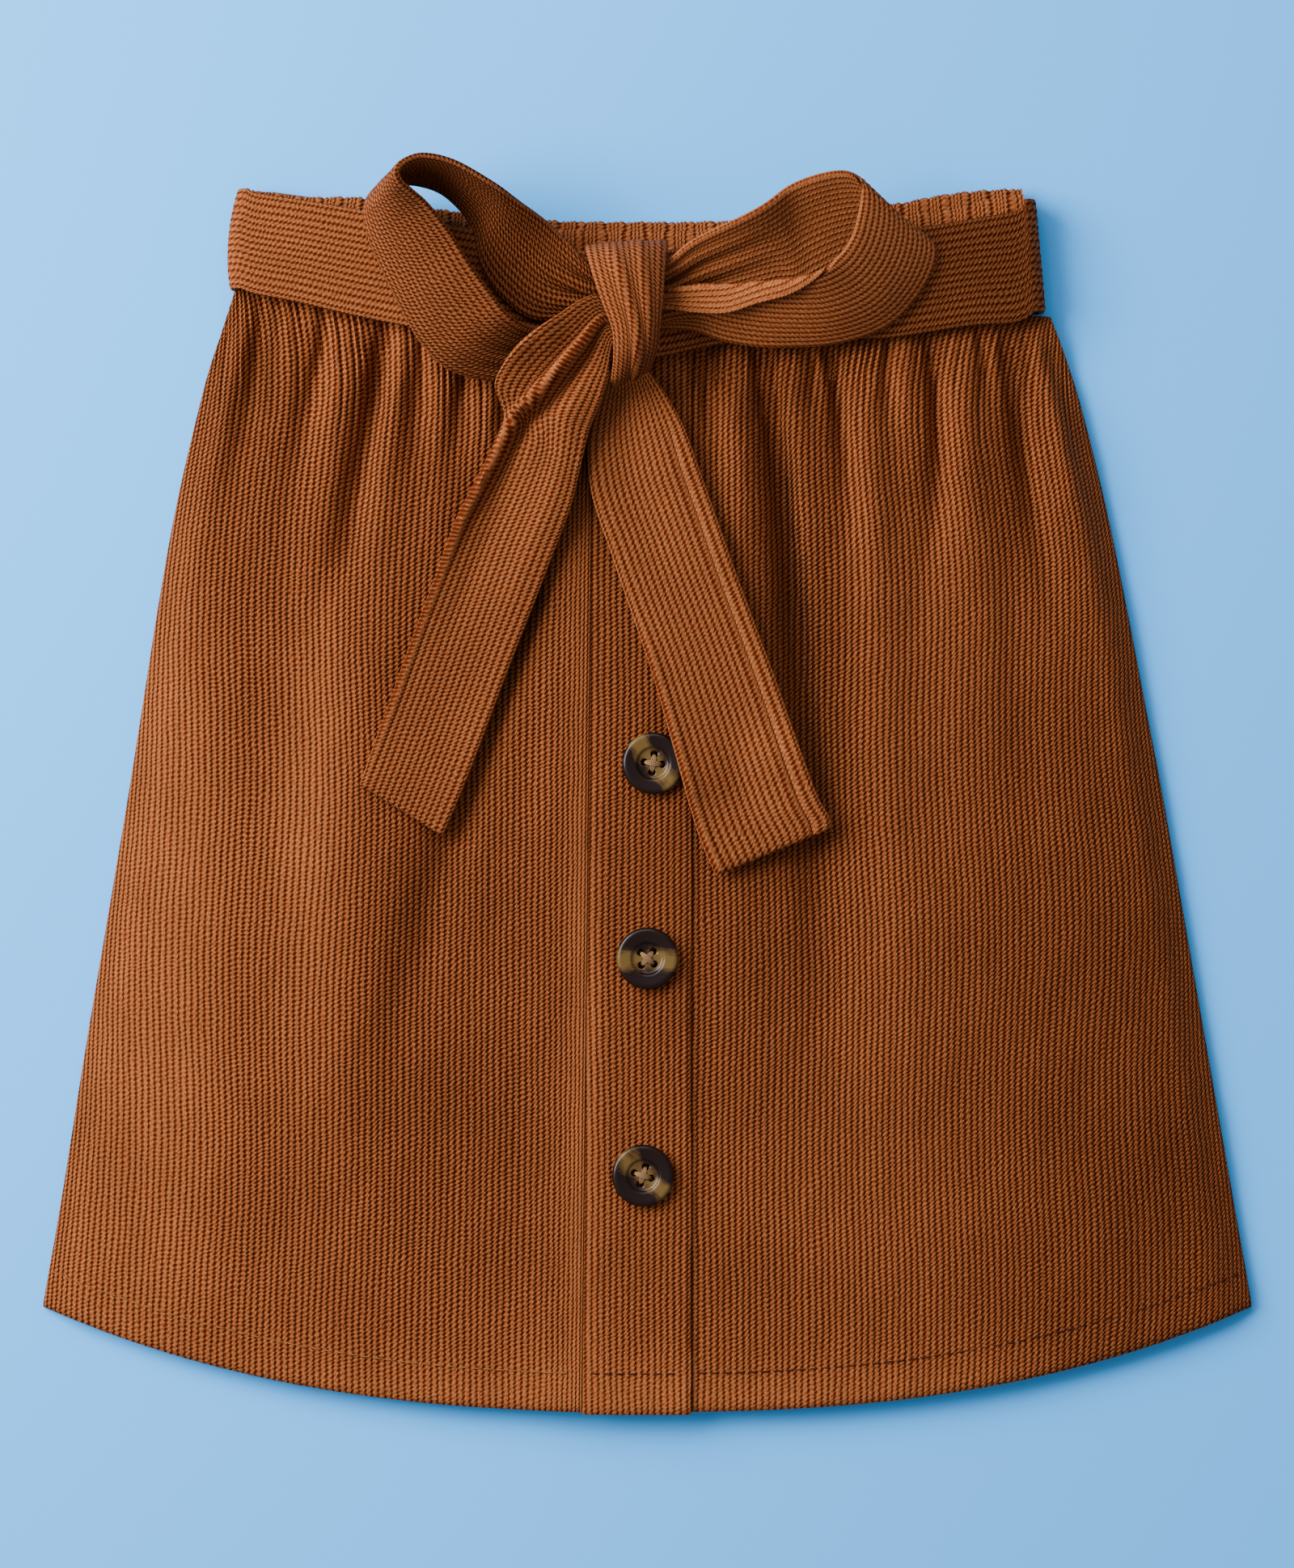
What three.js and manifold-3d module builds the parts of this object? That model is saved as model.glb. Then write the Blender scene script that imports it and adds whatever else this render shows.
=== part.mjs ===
// A small child's corduroy A-line skirt, laid flat with its belt tied in a bow.
// Millimetres. +X is the viewer's right, +Y runs up to the waist, +Z up off the floor, which is z = 0.
import * as THREE from 'three';
import { mergeVertices } from 'three/addons/utils/BufferGeometryUtils.js';
import Module from 'manifold-3d';

const wasm = await Module();
wasm.setup();

// ---- Cloth and layers -------------------------------------------------------------------------------------
const CLOTH = 1.6; // one layer of corduroy with its pile
const GAP = 0.3; // air between neighbouring pieces
const SEAM_GAP = 0.45; // the same along the gathered seam, where the edges wander
const BELT_THICK = 2.0; // the belt is two layers, turned and pressed
const BELT_WIDTH = 26;
const CASING_THICK = 2.8; // waistband: two layers over elastic
const CASING_RUCK = 0.8; // depth of the ruckles drawn up by the elastic
const PLACKET_THICK = 2.2; // doubled front band

// Heights of the layers stacked at the waist, from the floor up.
const BACK_CASING_Z = BELT_THICK + GAP;
const FRONT_CASING_Z = BACK_CASING_Z + CASING_THICK + GAP;
const BELT_Z = FRONT_CASING_Z + CASING_THICK + GAP;
const BOW_Z = BELT_Z + BELT_THICK + 3 * GAP;

// ---- Outline ----------------------------------------------------------------------------------------------
const HEM = { low: -155.5, rise: 25.8, half: 149.4, curve: 2.4 };

// Side seams: where each one lies at a height y.
const SIDES = [
  { y: 122.0, left: -101.6, right: 97.8 },
  { y: 113.5, left: -104.5, right: 100.3 },
  { y: 103.0, left: -107.9, right: 103.9 },
  { y: 93.5, left: -110.5, right: 106.9 },
  { y: 69.5, left: -116.1, right: 112.9 },
  { y: 45.5, left: -120.5, right: 117.9 },
  { y: 21.5, left: -124.3, right: 122.5 },
  { y: -2.5, left: -128.1, right: 127.1 },
  { y: -66.5, left: -138.9, right: 138.3 },
  { y: -106.5, left: -145.3, right: 145.3 },
  { y: -130.0, left: -149.4, right: 149.4 },
  { y: -156.0, left: -153.0, right: 153.0 },
];

// Waist across the skirt: the gathered seam, and the top edges of the front and back casings.
const WAIST = [
  { x: -104, seam: 120.4, front: 144.8, back: 147.0 },
  { x: -86, seam: 119.2, front: 143.4, back: 145.0 },
  { x: -72, seam: 116.6, front: 142.0, back: 144.8 },
  { x: -52, seam: 113.6, front: 139.6, back: 141.9 },
  { x: -22, seam: 112.2, front: 136.7, back: 139.1 },
  { x: 0, seam: 112.0, front: 136.1, back: 138.8 },
  { x: 24, seam: 112.2, front: 136.9, back: 139.3 },
  { x: 62, seam: 114.2, front: 139.8, back: 143.4 },
  { x: 76, seam: 115.4, front: 141.6, back: 145.8 },
  { x: 88, seam: 115.2, front: 144.6, back: 146.8 },
  { x: 99, seam: 114.8, front: 145.8, back: 147.0 },
];

// ---- Placket and buttons ----------------------------------------------------------------------------------
const PLACKET = { seamTop: -13.2, seamHem: -16.2, fold: 10.7, underlap: -8.5 };
const LIFT_ONTO_UNDERLAP = CLOTH + SEAM_GAP; // the left front and placket lie over the right front's edge
const PLACKET_MIDDLE = -2;
const LIFT_RUN = 20; // width over which the left front climbs to the placket
const BACK_STEP = { from: 15, to: 3 }; // where the back climbs onto the belt, below the gathered seam
const BUTTON = { radius: 7.6, thick: 3.0, dish: 3.6, dishDepth: 0.9, hole: 0.9, pitch: 3.1, edge: 0.9 };
const BUTTONS = [
  { name: 'button_1', x: 1.4, y: 4.7, turn: 38 },
  { name: 'button_2', x: 0.0, y: -43.2, turn: 5 },
  { name: 'button_3', x: -1.1, y: -96.6, turn: 28 },
];

// ---- Folds of the front -----------------------------------------------------------------------------------
// Each runs down from (x0, y0) through (x1, y1) and dies out at (x2, y2). wide is its half width at the top,
// high its height there, below zero for a trough.
const FOLDS = [
  { x0: -100, y0: 112, x1: -104, y1: 102, x2: -109, y2: 84, wide: 4.5, high: 1.4 },
  { x0: -97, y0: 108, x1: -102, y1: 82, x2: -106, y2: 48, wide: 3.4, high: -2.2 },
  { x0: -86, y0: 112, x1: -93, y1: 82, x2: -99, y2: 36, wide: 6.0, high: 2.3 },
  { x0: -80, y0: 104, x1: -84, y1: 90, x2: -87, y2: 68, wide: 3.0, high: -1.6 },
  { x0: -72, y0: 110, x1: -77, y1: 92, x2: -84, y2: 62, wide: 3.6, high: 1.9 },
  { x0: -66, y0: 110, x1: -75, y1: 72, x2: -84, y2: 10, wide: 4.2, high: -3.2 },
  { x0: -61, y0: 110, x1: -66, y1: 80, x2: -71, y2: 34, wide: 4.6, high: 2.2 },
  { x0: -56, y0: 106, x1: -57, y1: 92, x2: -58, y2: 66, wide: 2.8, high: -1.9 },
  { x0: -50, y0: 106, x1: -49, y1: 82, x2: -53, y2: 44, wide: 4.0, high: 2.3 },
  { x0: -43, y0: 104, x1: -44, y1: 90, x2: -46, y2: 66, wide: 3.0, high: -2.2 },
  { x0: -34, y0: 102, x1: -34, y1: 88, x2: -35, y2: 66, wide: 4.0, high: -2.6 },
  { x0: -26, y0: 52, x1: -43, y1: -12, x2: -60, y2: -76, wide: 7.0, high: -1.5 },
  { x0: -30, y0: 10, x1: -30, y1: -40, x2: -34, y2: -120, wide: 11, high: 1.3 },
  { x0: -74, y0: 30, x1: -84, y1: -40, x2: -96, y2: -140, wide: 12, high: 1.2 },
  { x0: 14, y0: 106, x1: 14, y1: 92, x2: 15, y2: 70, wide: 2.6, high: -2.0 },
  { x0: 21, y0: 106, x1: 23, y1: 78, x2: 28, y2: 40, wide: 3.6, high: 2.5 },
  { x0: 26, y0: 106, x1: 34, y1: 62, x2: 47, y2: -30, wide: 4.4, high: -3.4 },
  { x0: 36, y0: 106, x1: 38, y1: 78, x2: 42, y2: 44, wide: 4.0, high: 2.3 },
  { x0: 44, y0: 108, x1: 47, y1: 98, x2: 51, y2: 78, wide: 2.8, high: -2.2 },
  { x0: 51, y0: 108, x1: 55, y1: 30, x2: 78, y2: -120, wide: 5.4, high: 2.6 },
  { x0: 57, y0: 106, x1: 57, y1: 94, x2: 59, y2: 76, wide: 2.6, high: -1.5 },
  { x0: 63, y0: 108, x1: 64, y1: 94, x2: 65, y2: 70, wide: 3.4, high: 1.9 },
  { x0: 69, y0: 110, x1: 71, y1: 94, x2: 68, y2: 62, wide: 3.2, high: -2.6 },
  { x0: 76, y0: 110, x1: 79, y1: 74, x2: 82, y2: 0, wide: 5.0, high: 2.4 },
  { x0: 86, y0: 110, x1: 98, y1: 80, x2: 108, y2: -60, wide: 4.4, high: -2.8 },
  { x0: 92, y0: 110, x1: 103, y1: 78, x2: 120, y2: 10, wide: 4.2, high: 2.4 },
  { x0: 20, y0: -30, x1: 22, y1: -80, x2: 22, y2: -150, wide: 12, high: 1.0 },
  { x0: 116, y0: -10, x1: 122, y1: -60, x2: 128, y2: -140, wide: 12, high: 0.9 },
];
const FOLD_SPREAD = 0.8; // how much wider a fold gets by its lower end, as a share of its width
const FOLD_FADE = 0.9; // share of its length over which a fold loses its height
const GATHERS = { pitch: 5.6, depth: 0.5, fade: 11 }; // small gathers drawn into the waist seam
const SEAM_PINCH = { share: 0.35, from: 1, to: 15 }; // the folds start low where the seam holds them

// Loft of the front over the back apart from its folds, by the distance below the gathered seam: each row
// swells over from..full and dies away over fade..gone.
const LOFT = [
  { high: 1.25, from: -2, full: -1, fade: 0, gone: 60 },
  { high: 1.9, from: 0, full: 14, fade: 20, gone: 105 },
  { high: 0.35, from: -2, full: -1, fade: 60, gone: 220 },
];
const LEAST_LOFT = 0.6; // a trough settles toward the back over its last stretch, never through it
const SIDE_SEAM_RUN = 9; // width over which the loft dies away into the side seams

// Height left under the belt for the front's folds, away from the placket and over it.
const ROOM = { atSeam: 2.2, more: 5, from: 4, to: 16 };
const PLACKET_ROOM = { atSeam: 0.2, more: 4, from: 7, to: 26, half: 13, fade: 34 };

// ---- Belt -------------------------------------------------------------------------------------------------
const BELT_MEETS = -5; // the two front stretches meet under the knot
const BELT_RUNS = [
  { x: -104, bottom: 121.3, top: 145.9 },
  { x: -88, bottom: 118.4, top: 143.6 },
  { x: -70, bottom: 114.2, top: 140.6 },
  { x: -40, bottom: 108.6, top: 135.2 },
  { x: -12, bottom: 103.5, top: 130.1 },
  { x: 2, bottom: 103.9, top: 130.1 },
  { x: 11, bottom: 106.8, top: 132.1 },
  { x: 40, bottom: 108.8, top: 134.7 },
  { x: 60, bottom: 109.2, top: 135.4 },
  { x: 78, bottom: 112.0, top: 138.2 },
  { x: 91, bottom: 113.0, top: 140.6 },
  { x: 99, bottom: 115.6, top: 143.4 },
];
const BELT_BACK_DIP = 7.2; // how far the back stretch sags toward the hem at its middle
const BELT_TURN_RADIUS = 1.9;
const BELT_LAP = 5; // how far each turned end runs on under the skirt
const BELT_FLAT = { left: -96, right: 91 }; // how far out the front stretches lie flat
const BELT_SETTLE = 2 * GAP; // air under the belt where the cloth below it lifts it

// ---- Bow --------------------------------------------------------------------------------------------------
// A loop stands on one edge. x, y is its upper rim or, where it is folded over, its ridge. aim is the way its
// lower edge lies from there, in degrees from +X; lean how far it leans that way from upright; share the part of
// the full width left by the pinch at the knot; flap what is folded over, toward aim; crown how far its face
// bellies up and toward aim, below zero the other way.
const LOOP_LEFT = [
  { x: -5.4, y: 123.4, aim: 262, lean: 36, share: 0.46, flap: 0, crown: 0.0 },
  { x: -12.6, y: 125.0, aim: 252, lean: 52, share: 0.54, flap: 0, crown: -0.3 },
  { x: -19.8, y: 132.0, aim: 248, lean: 64, share: 0.86, flap: 0, crown: -1.2 },
  { x: -25.2, y: 136.8, aim: 241, lean: 57, share: 0.96, flap: 0, crown: -1.8 },
  { x: -31.4, y: 140.7, aim: 237, lean: 41, share: 1.0, flap: 0, crown: -1.8 },
  { x: -37.4, y: 144.5, aim: 240, lean: 23, share: 1.0, flap: 0, crown: -1.4 },
  { x: -46.5, y: 149.5, aim: 244, lean: 14, share: 1.0, flap: 0, crown: -1.0 },
  { x: -53.7, y: 151.2, aim: 234, lean: 12, share: 1.0, flap: 0, crown: -0.4 },
  { x: -58.2, y: 150.0, aim: 218, lean: 13, share: 1.0, flap: 0, crown: 0.0 },
  { x: -60.2, y: 147.6, aim: 206, lean: 18, share: 1.0, flap: 0, crown: 0.3 },
  { x: -59.2, y: 145.0, aim: 204, lean: 25, share: 1.0, flap: 0, crown: 0.6 },
  { x: -56.7, y: 143.0, aim: 208, lean: 32, share: 1.0, flap: 0, crown: 1.0 },
  { x: -53.1, y: 140.0, aim: 214, lean: 40, share: 1.0, flap: 0, crown: 1.4 },
  { x: -47.9, y: 133.5, aim: 217, lean: 47, share: 1.0, flap: 0, crown: 1.8 },
  { x: -43.3, y: 126.1, aim: 217, lean: 50, share: 1.0, flap: 0, crown: 1.8 },
  { x: -38.6, y: 119.5, aim: 216, lean: 52, share: 1.0, flap: 0, crown: 1.4 },
  { x: -33.6, y: 113.4, aim: 216, lean: 52, share: 0.96, flap: 0, crown: 0.8 },
  { x: -27.3, y: 110.4, aim: 226, lean: 56, share: 0.76, flap: 0, crown: 0.2 },
  { x: -18.6, y: 110.4, aim: 248, lean: 56, share: 0.52, flap: 0, crown: 0.0 },
  { x: -5.4, y: 110.8, aim: 264, lean: 40, share: 0.34, flap: 0, crown: 0.0 },
];
const LOOP_RIGHT = [
  { x: -4.6, y: 123.6, aim: -94, lean: 38, share: 0.46, flap: 0, crown: 0.0 },
  { x: 4.2, y: 126.6, aim: -84, lean: 46, share: 0.56, flap: 0, crown: -0.3 },
  { x: 11.5, y: 132.0, aim: -70, lean: 50, share: 0.74, flap: 0, crown: -1.0 },
  { x: 23.6, y: 137.6, aim: -63, lean: 50, share: 0.9, flap: 0, crown: -1.6 },
  { x: 29.1, y: 140.8, aim: -67, lean: 54, share: 0.98, flap: 0, crown: -1.8 },
  { x: 34.6, y: 144.9, aim: -72, lean: 57, share: 1.0, flap: 0, crown: -1.6 },
  { x: 41.0, y: 147.3, aim: -67, lean: 53, share: 1.0, flap: 0, crown: -1.0 },
  { x: 46.9, y: 148.3, aim: -59, lean: 52, share: 1.0, flap: 0, crown: -0.4 },
  { x: 50.3, y: 147.4, aim: -48, lean: 54, share: 1.0, flap: 0, crown: 0.0 },
  { x: 51.9, y: 145.4, aim: -38, lean: 58, share: 1.0, flap: 0, crown: 0.2 },
  { x: 51.9, y: 142.2, aim: -34, lean: 61, share: 1.0, flap: 0, crown: 0.6 },
  { x: 51.1, y: 137.6, aim: -35, lean: 60, share: 1.0, flap: 0, crown: 1.2 },
  { x: 49.4, y: 132.2, aim: -40, lean: 55, share: 1.0, flap: 0, crown: 1.4 },
  { x: 45.9, y: 127.4, aim: -49, lean: 51, share: 1.0, flap: 0, crown: 1.2 },
  { x: 40.7, y: 123.4, aim: -63, lean: 44, share: 1.0, flap: 1.4, crown: 0.8 },
  { x: 34.3, y: 121.8, aim: -82, lean: 42, share: 1.0, flap: 3.6, crown: 0.4 },
  { x: 27.6, y: 121.4, aim: -95, lean: 45, share: 0.98, flap: 5.2, crown: 0.3 },
  { x: 20.4, y: 121.0, aim: -97, lean: 47, share: 0.94, flap: 7.0, crown: 0.2 },
  { x: 12.4, y: 121.2, aim: -93, lean: 45, share: 0.84, flap: 7.0, crown: 0.0 },
  { x: 4.2, y: 119.2, aim: -91, lean: 40, share: 0.62, flap: 4.0, crown: 0.0 },
  { x: -4.6, y: 115.2, aim: -90, lean: 30, share: 0.4, flap: 0, crown: 0.0 },
];
const FLAP_DROOP = 8; // degrees below level of a folded-over flap
const LOOP_STEPS = 2; // sections drawn for each row of the tables above
const LOOP_ACROSS = 4;
const FLAP_ACROSS = 2;

// The knot is one turn of belt over the middle of the bow, from its top edge to its bottom edge. left and
// right are its sides, skew how much higher its right side lies, z the height of its middle.
const KNOT = [
  { y: 128.2, left: -14.4, right: 4.3, skew: 0.8, z: 13.8 },
  { y: 130.3, left: -15.4, right: 4.9, skew: 1.2, z: 18.0 },
  { y: 128.8, left: -14.9, right: 4.8, skew: 1.4, z: 23.8 },
  { y: 123.6, left: -13.3, right: 4.2, skew: 1.0, z: 28.2 },
  { y: 117.0, left: -10.9, right: 3.6, skew: 0.6, z: 30.0 },
  { y: 110.2, left: -8.2, right: 2.8, skew: 0.6, z: 30.2 },
  { y: 104.2, left: -7.8, right: 2.2, skew: 1.6, z: 28.4 },
  { y: 99.4, left: -8.4, right: 1.0, skew: 3.0, z: 24.0 },
  { y: 97.0, left: -9.2, right: 0.0, skew: 4.2, z: 19.4 },
];
const KNOT_CROWN = 1.5; // how far the knot's sides fall below its middle
const KNOT_THICK = 2.4;
const KNOT_ACROSS = 6;
const KNOT_STEPS = 2;

// The tails: their two edges, the least height of their middle and, where they are creased lengthwise, the
// depth of the crease. Where z is 0 a tail just lies on what is below it.
const TAIL_RIGHT = [
  { lx: -9.2, ly: 101.0, rx: -0.8, ry: 102.4, z: 12.6, vee: 0 },
  { lx: -11.6, ly: 95.0, rx: 3.4, ry: 97.0, z: 11.6, vee: 0.4 },
  { lx: -14.6, ly: 84.0, rx: 8.6, ry: 88.0, z: 0, vee: 0.6 },
  { lx: -13.7, ly: 70.7, rx: 12.6, ry: 77.4, z: 0, vee: 0.4 },
  { lx: -9.2, ly: 57.0, rx: 17.0, ry: 65.0, z: 0, vee: 0 },
  { lx: -4.4, ly: 43.0, rx: 21.6, ry: 52.0, z: 0, vee: 0 },
  { lx: 0.6, ly: 29.0, rx: 26.8, ry: 38.0, z: 0, vee: 0 },
  { lx: 5.7, ly: 15.0, rx: 32.0, ry: 24.0, z: 0, vee: 0 },
  { lx: 10.0, ly: 0.0, rx: 37.2, ry: 9.0, z: 0, vee: 0 },
  { lx: 14.2, ly: -13.0, rx: 41.8, ry: -4.4, z: 0, vee: 0 },
  { lx: 19.6, ly: -21.4, rx: 44.4, ry: -10.8, z: 0, vee: 0 },
];
const TAIL_LEFT = [
  { lx: -5.0, ly: 115.4, rx: -5.0, ry: 106.6, z: 21.0, vee: 0 },
  { lx: -12.9, ly: 118.8, rx: -8.4, ry: 106.4, z: 21.6, vee: 1.2 },
  { lx: -21.6, ly: 113.8, rx: -9.5, ry: 99.4, z: 20.8, vee: 2.6 },
  { lx: -31.0, ly: 106.2, rx: -11.7, ry: 92.0, z: 18.0, vee: 3.0 },
  { lx: -36.6, ly: 97.6, rx: -14.3, ry: 85.6, z: 14.6, vee: 2.6 },
  { lx: -38.3, ly: 88.0, rx: -16.4, ry: 76.6, z: 0, vee: 1.8 },
  { lx: -41.6, ly: 77.0, rx: -18.8, ry: 67.0, z: 0, vee: 0.9 },
  { lx: -46.4, ly: 64.6, rx: -23.2, ry: 55.4, z: 0, vee: 0.3 },
  { lx: -51.4, ly: 51.6, rx: -28.2, ry: 42.6, z: 0, vee: 0 },
  { lx: -56.6, ly: 38.0, rx: -33.6, ry: 29.0, z: 0, vee: 0 },
  { lx: -62.0, ly: 23.0, rx: -39.4, ry: 13.6, z: 0, vee: 0 },
  { lx: -67.2, ly: 9.0, rx: -45.2, ry: -1.4, z: 0, vee: 0 },
  { lx: -70.7, ly: -0.6, rx: -50.3, ry: -13.2, z: 0, vee: 0 },
];
const TAIL_THICK = 2.0;
const TAIL_ACROSS = 6;
const TAIL_STEPS = 2;
const TAIL_STIFFNESS = { passes: 30, share: 0.6 }; // how a tail evens out between the points that hold it up
const TAIL_REACH = 4.2; // radius round a point of a tail, or of the belt, in which cloth below holds it up
const BELT_REACH = 5;

// ---- Small helpers ----------------------------------------------------------------------------------------
const { lerp, clamp, smoothstep, degToRad } = THREE.MathUtils;

/** Reads a column of a table at a place along it, on a smooth curve through the rows. */
function readColumn(rows, key, column, at) {
  const rising = rows[rows.length - 1][key] > rows[0][key];
  let i = rows.findIndex((row) => (rising ? row[key] > at : row[key] < at)) - 1;
  if (i < -1) i = rows.length - 2;
  i = clamp(i, 0, rows.length - 2);
  const slope = (j) => {
    const a = rows[Math.max(j - 1, 0)];
    const b = rows[Math.min(j + 1, rows.length - 1)];
    return (b[column] - a[column]) / (b[key] - a[key]);
  };
  const span = rows[i + 1][key] - rows[i][key];
  const t = clamp((at - rows[i][key]) / span, 0, 1);
  const [square, cube] = [t * t, t * t * t];
  return (
    (2 * cube - 3 * square + 1) * rows[i][column] + (cube - 2 * square + t) * slope(i) * span +
    (3 * square - 2 * cube) * rows[i + 1][column] + (cube - square) * slope(i + 1) * span
  );
}

/** A table with `steps` smooth rows drawn for each of its own. */
function refine(rows, steps) {
  const numbered = rows.map((row, row_index) => ({ ...row, row_index }));
  const count = (rows.length - 1) * steps;
  const columns = Object.keys(rows[0]);
  return Array.from({ length: count + 1 }, (_, i) => {
    const at = (i / count) * (rows.length - 1);
    return Object.fromEntries(columns.map((c) => [c, readColumn(numbered, 'row_index', c, at)]));
  });
}

const waistAt = (x, column) => readColumn(WAIST, 'x', column, x);
const sideAt = (y, column) => readColumn(SIDES, 'y', column, y);
const hemAt = (x) => HEM.low + HEM.rise * (Math.abs(x) / HEM.half) ** HEM.curve;
const steps = (count) => Array.from({ length: count + 1 }, (_, i) => (count ? i / count : 0));

/** A closed solid from rows of { top, bottom } points; neighbouring rows may differ in their point count. */
function shell(rows) {
  const points = [];
  const faces = [];
  const index = rows.map((row) => row.map(({ top, bottom }) => {
    points.push(...top.toArray(), ...bottom.toArray());
    return { top: points.length / 3 - 2, bottom: points.length / 3 - 1 };
  }));
  const quad = (a, b, c, d) => faces.push(a, b, c, a, c, d);
  const zip = (near, far, side, flip) => {
    let i = 0;
    let j = 0;
    while (i < near.length - 1 || j < far.length - 1) {
      const nearNext = (i + 1) * (far.length - 1) <= (j + 1) * (near.length - 1);
      const stepNear = j === far.length - 1 || (i < near.length - 1 && nearNext);
      const third = stepNear ? near[i + 1][side] : far[j + 1][side];
      const face = [near[i][side], third, far[j][side]];
      faces.push(...(flip ? face.reverse() : face));
      if (stepNear) i += 1;
      else j += 1;
    }
  };
  for (let r = 0; r < index.length - 1; r += 1) {
    const near = index[r];
    const far = index[r + 1];
    zip(near, far, 'top', false);
    zip(near, far, 'bottom', true);
    quad(near[0].top, far[0].top, far[0].bottom, near[0].bottom);
    quad(far.at(-1).top, near.at(-1).top, near.at(-1).bottom, far.at(-1).bottom);
  }
  const wall = (row, flip) => {
    for (let i = 0; i < row.length - 1; i += 1) {
      const ring = [row[i].top, row[i].bottom, row[i + 1].bottom, row[i + 1].top];
      quad(...(flip ? ring.reverse() : ring));
    }
  };
  wall(index[0], false);
  wall(index.at(-1), true);
  const geometry = new THREE.BufferGeometry();
  geometry.setAttribute('position', new THREE.Float32BufferAttribute(points, 3));
  geometry.setIndex(signedVolume(points, faces) < 0 ? faces.reverse() : faces);
  geometry.computeVertexNormals();
  return geometry;
}

/** Volume inside a closed mesh, below zero if its faces point in. */
function signedVolume(points, faces) {
  const corner = (i) => new THREE.Vector3().fromArray(points, faces[i] * 3);
  let volume = 0;
  for (let i = 0; i < faces.length; i += 3) {
    volume += corner(i).dot(corner(i + 1).cross(corner(i + 2))) / 6;
  }
  return volume;
}

/** Gives sections of centre points a thickness, along the normal of the surface that they make. */
function thicken(sections, thick) {
  return sections.map((section, r) => section.map((point, c) => {
    const before = sections[Math.max(r - 1, 0)][c];
    const after = sections[Math.min(r + 1, sections.length - 1)][c];
    const along = after.clone().sub(before);
    const across = section[Math.min(c + 1, section.length - 1)].clone().sub(section[Math.max(c - 1, 0)]);
    const normal = across.cross(along).normalize().multiplyScalar(thick / 2);
    return { top: point.clone().add(normal), bottom: point.clone().sub(normal) };
  }));
}

function clothMaterial(color) {
  return new THREE.MeshStandardMaterial({ color, roughness: 0.92, metalness: 0 });
}

const CORDUROY = clothMaterial(0x8a4a22);
const BELT_CLOTH = clothMaterial(0x96512a);
const HORN = new THREE.MeshStandardMaterial({ color: 0x3a2a1c, roughness: 0.3, metalness: 0 });

function piece(name, geometry, material) {
  const mesh = new THREE.Mesh(geometry, material);
  mesh.name = name;
  mesh.updateMatrixWorld(true);
  return mesh;
}

// ---- Skirt panels -----------------------------------------------------------------------------------------
/** Height of the back panel's underside: flat on the floor, stepping up onto the belt at the waist. */
function backLift(x, y) {
  const seam = waistAt(x, 'seam');
  return BACK_CASING_Z * smoothstep(y, seam - BACK_STEP.from, seam - BACK_STEP.to);
}

function foldHeight(fold, x, y) {
  const down = (fold.y0 - y) / (fold.y0 - fold.y2);
  if (down >= 1) return 0;
  const t = clamp(down, 0, 1);
  const mid = (fold.y0 - fold.y1) / (fold.y0 - fold.y2);
  const bend = (fold.x1 - lerp(fold.x0, fold.x2, mid)) / (mid * (1 - mid));
  const crest = lerp(fold.x0, fold.x2, t) + bend * t * (1 - t);
  const spread = fold.wide * (1 + FOLD_SPREAD * t);
  return fold.high * smoothstep(1 - t, 0, FOLD_FADE) * Math.exp(-(((x - crest) / spread) ** 2));
}

/** Height free for the front's folds at a distance below the seam. */
function roomFor(x, below) {
  const over = 1 - smoothstep(Math.abs(x - PLACKET_MIDDLE), PLACKET_ROOM.half, PLACKET_ROOM.fade);
  const [open, banded] = [ROOM, PLACKET_ROOM].map((r) => r.atSeam + r.more * smoothstep(below, r.from, r.to));
  return lerp(open, banded, over);
}

/** How far the front stands off the back at a point, fold by fold, never below zero. */
function rise(x, y) {
  const below = waistAt(x, 'seam') - y;
  const nearSide = Math.min(x - sideAt(y, 'left'), sideAt(y, 'right') - x);
  const loft = LOFT.reduce((sum, row) => (
    sum + row.high * smoothstep(below, row.from, row.full) * (1 - smoothstep(below, row.fade, row.gone))
  ), 0);
  const folds = FOLDS.reduce((sum, fold) => sum + foldHeight(fold, x, y), 0);
  const pinch = lerp(SEAM_PINCH.share, 1, smoothstep(below, SEAM_PINCH.from, SEAM_PINCH.to));
  const wave = Math.sin((2 * Math.PI * x) / GATHERS.pitch);
  const height = loft + folds * pinch + GATHERS.depth * wave * Math.exp(-Math.max(below, 0) / GATHERS.fade);
  const soft = height > LEAST_LOFT ? height : LEAST_LOFT * Math.exp(height / LEAST_LOFT - 1);
  return Math.min(soft, roomFor(x, below)) * smoothstep(nearSide, -1, SIDE_SEAM_RUN);
}

const frontUnderside = (x, y) => backLift(x, y) + CLOTH + GAP + rise(x, y);
const placketSeam = (y) => {
  const up = (y - HEM.low) / (waistAt(0, 'seam') - HEM.low);
  return lerp(PLACKET.seamHem, PLACKET.seamTop, up);
};

/** Rows of a panel from hem to waist between two edges; bands give how finely each stretch is divided. */
function panelRows(edgeA, edgeB, bands, underside, thick) {
  const rows = [];
  let done = 0;
  bands.forEach(({ from, to, rows: count, columns }) => {
    steps(count).slice(done).forEach((part) => {
      const v = lerp(from, to, part);
      rows.push(steps(columns).map((s) => {
        const hem = hemAt(lerp(edgeA(-130), edgeB(-130), s));
        const seam = waistAt(lerp(edgeA(115), edgeB(115), s), 'seam');
        const y = lerp(hem, seam, v);
        const x = lerp(edgeA(y), edgeB(y), s);
        const z = underside(x, y);
        return { bottom: new THREE.Vector3(x, y, z), top: new THREE.Vector3(x, y, z + thick) };
      }));
    });
    done = 1;
  });
  return rows;
}

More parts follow.
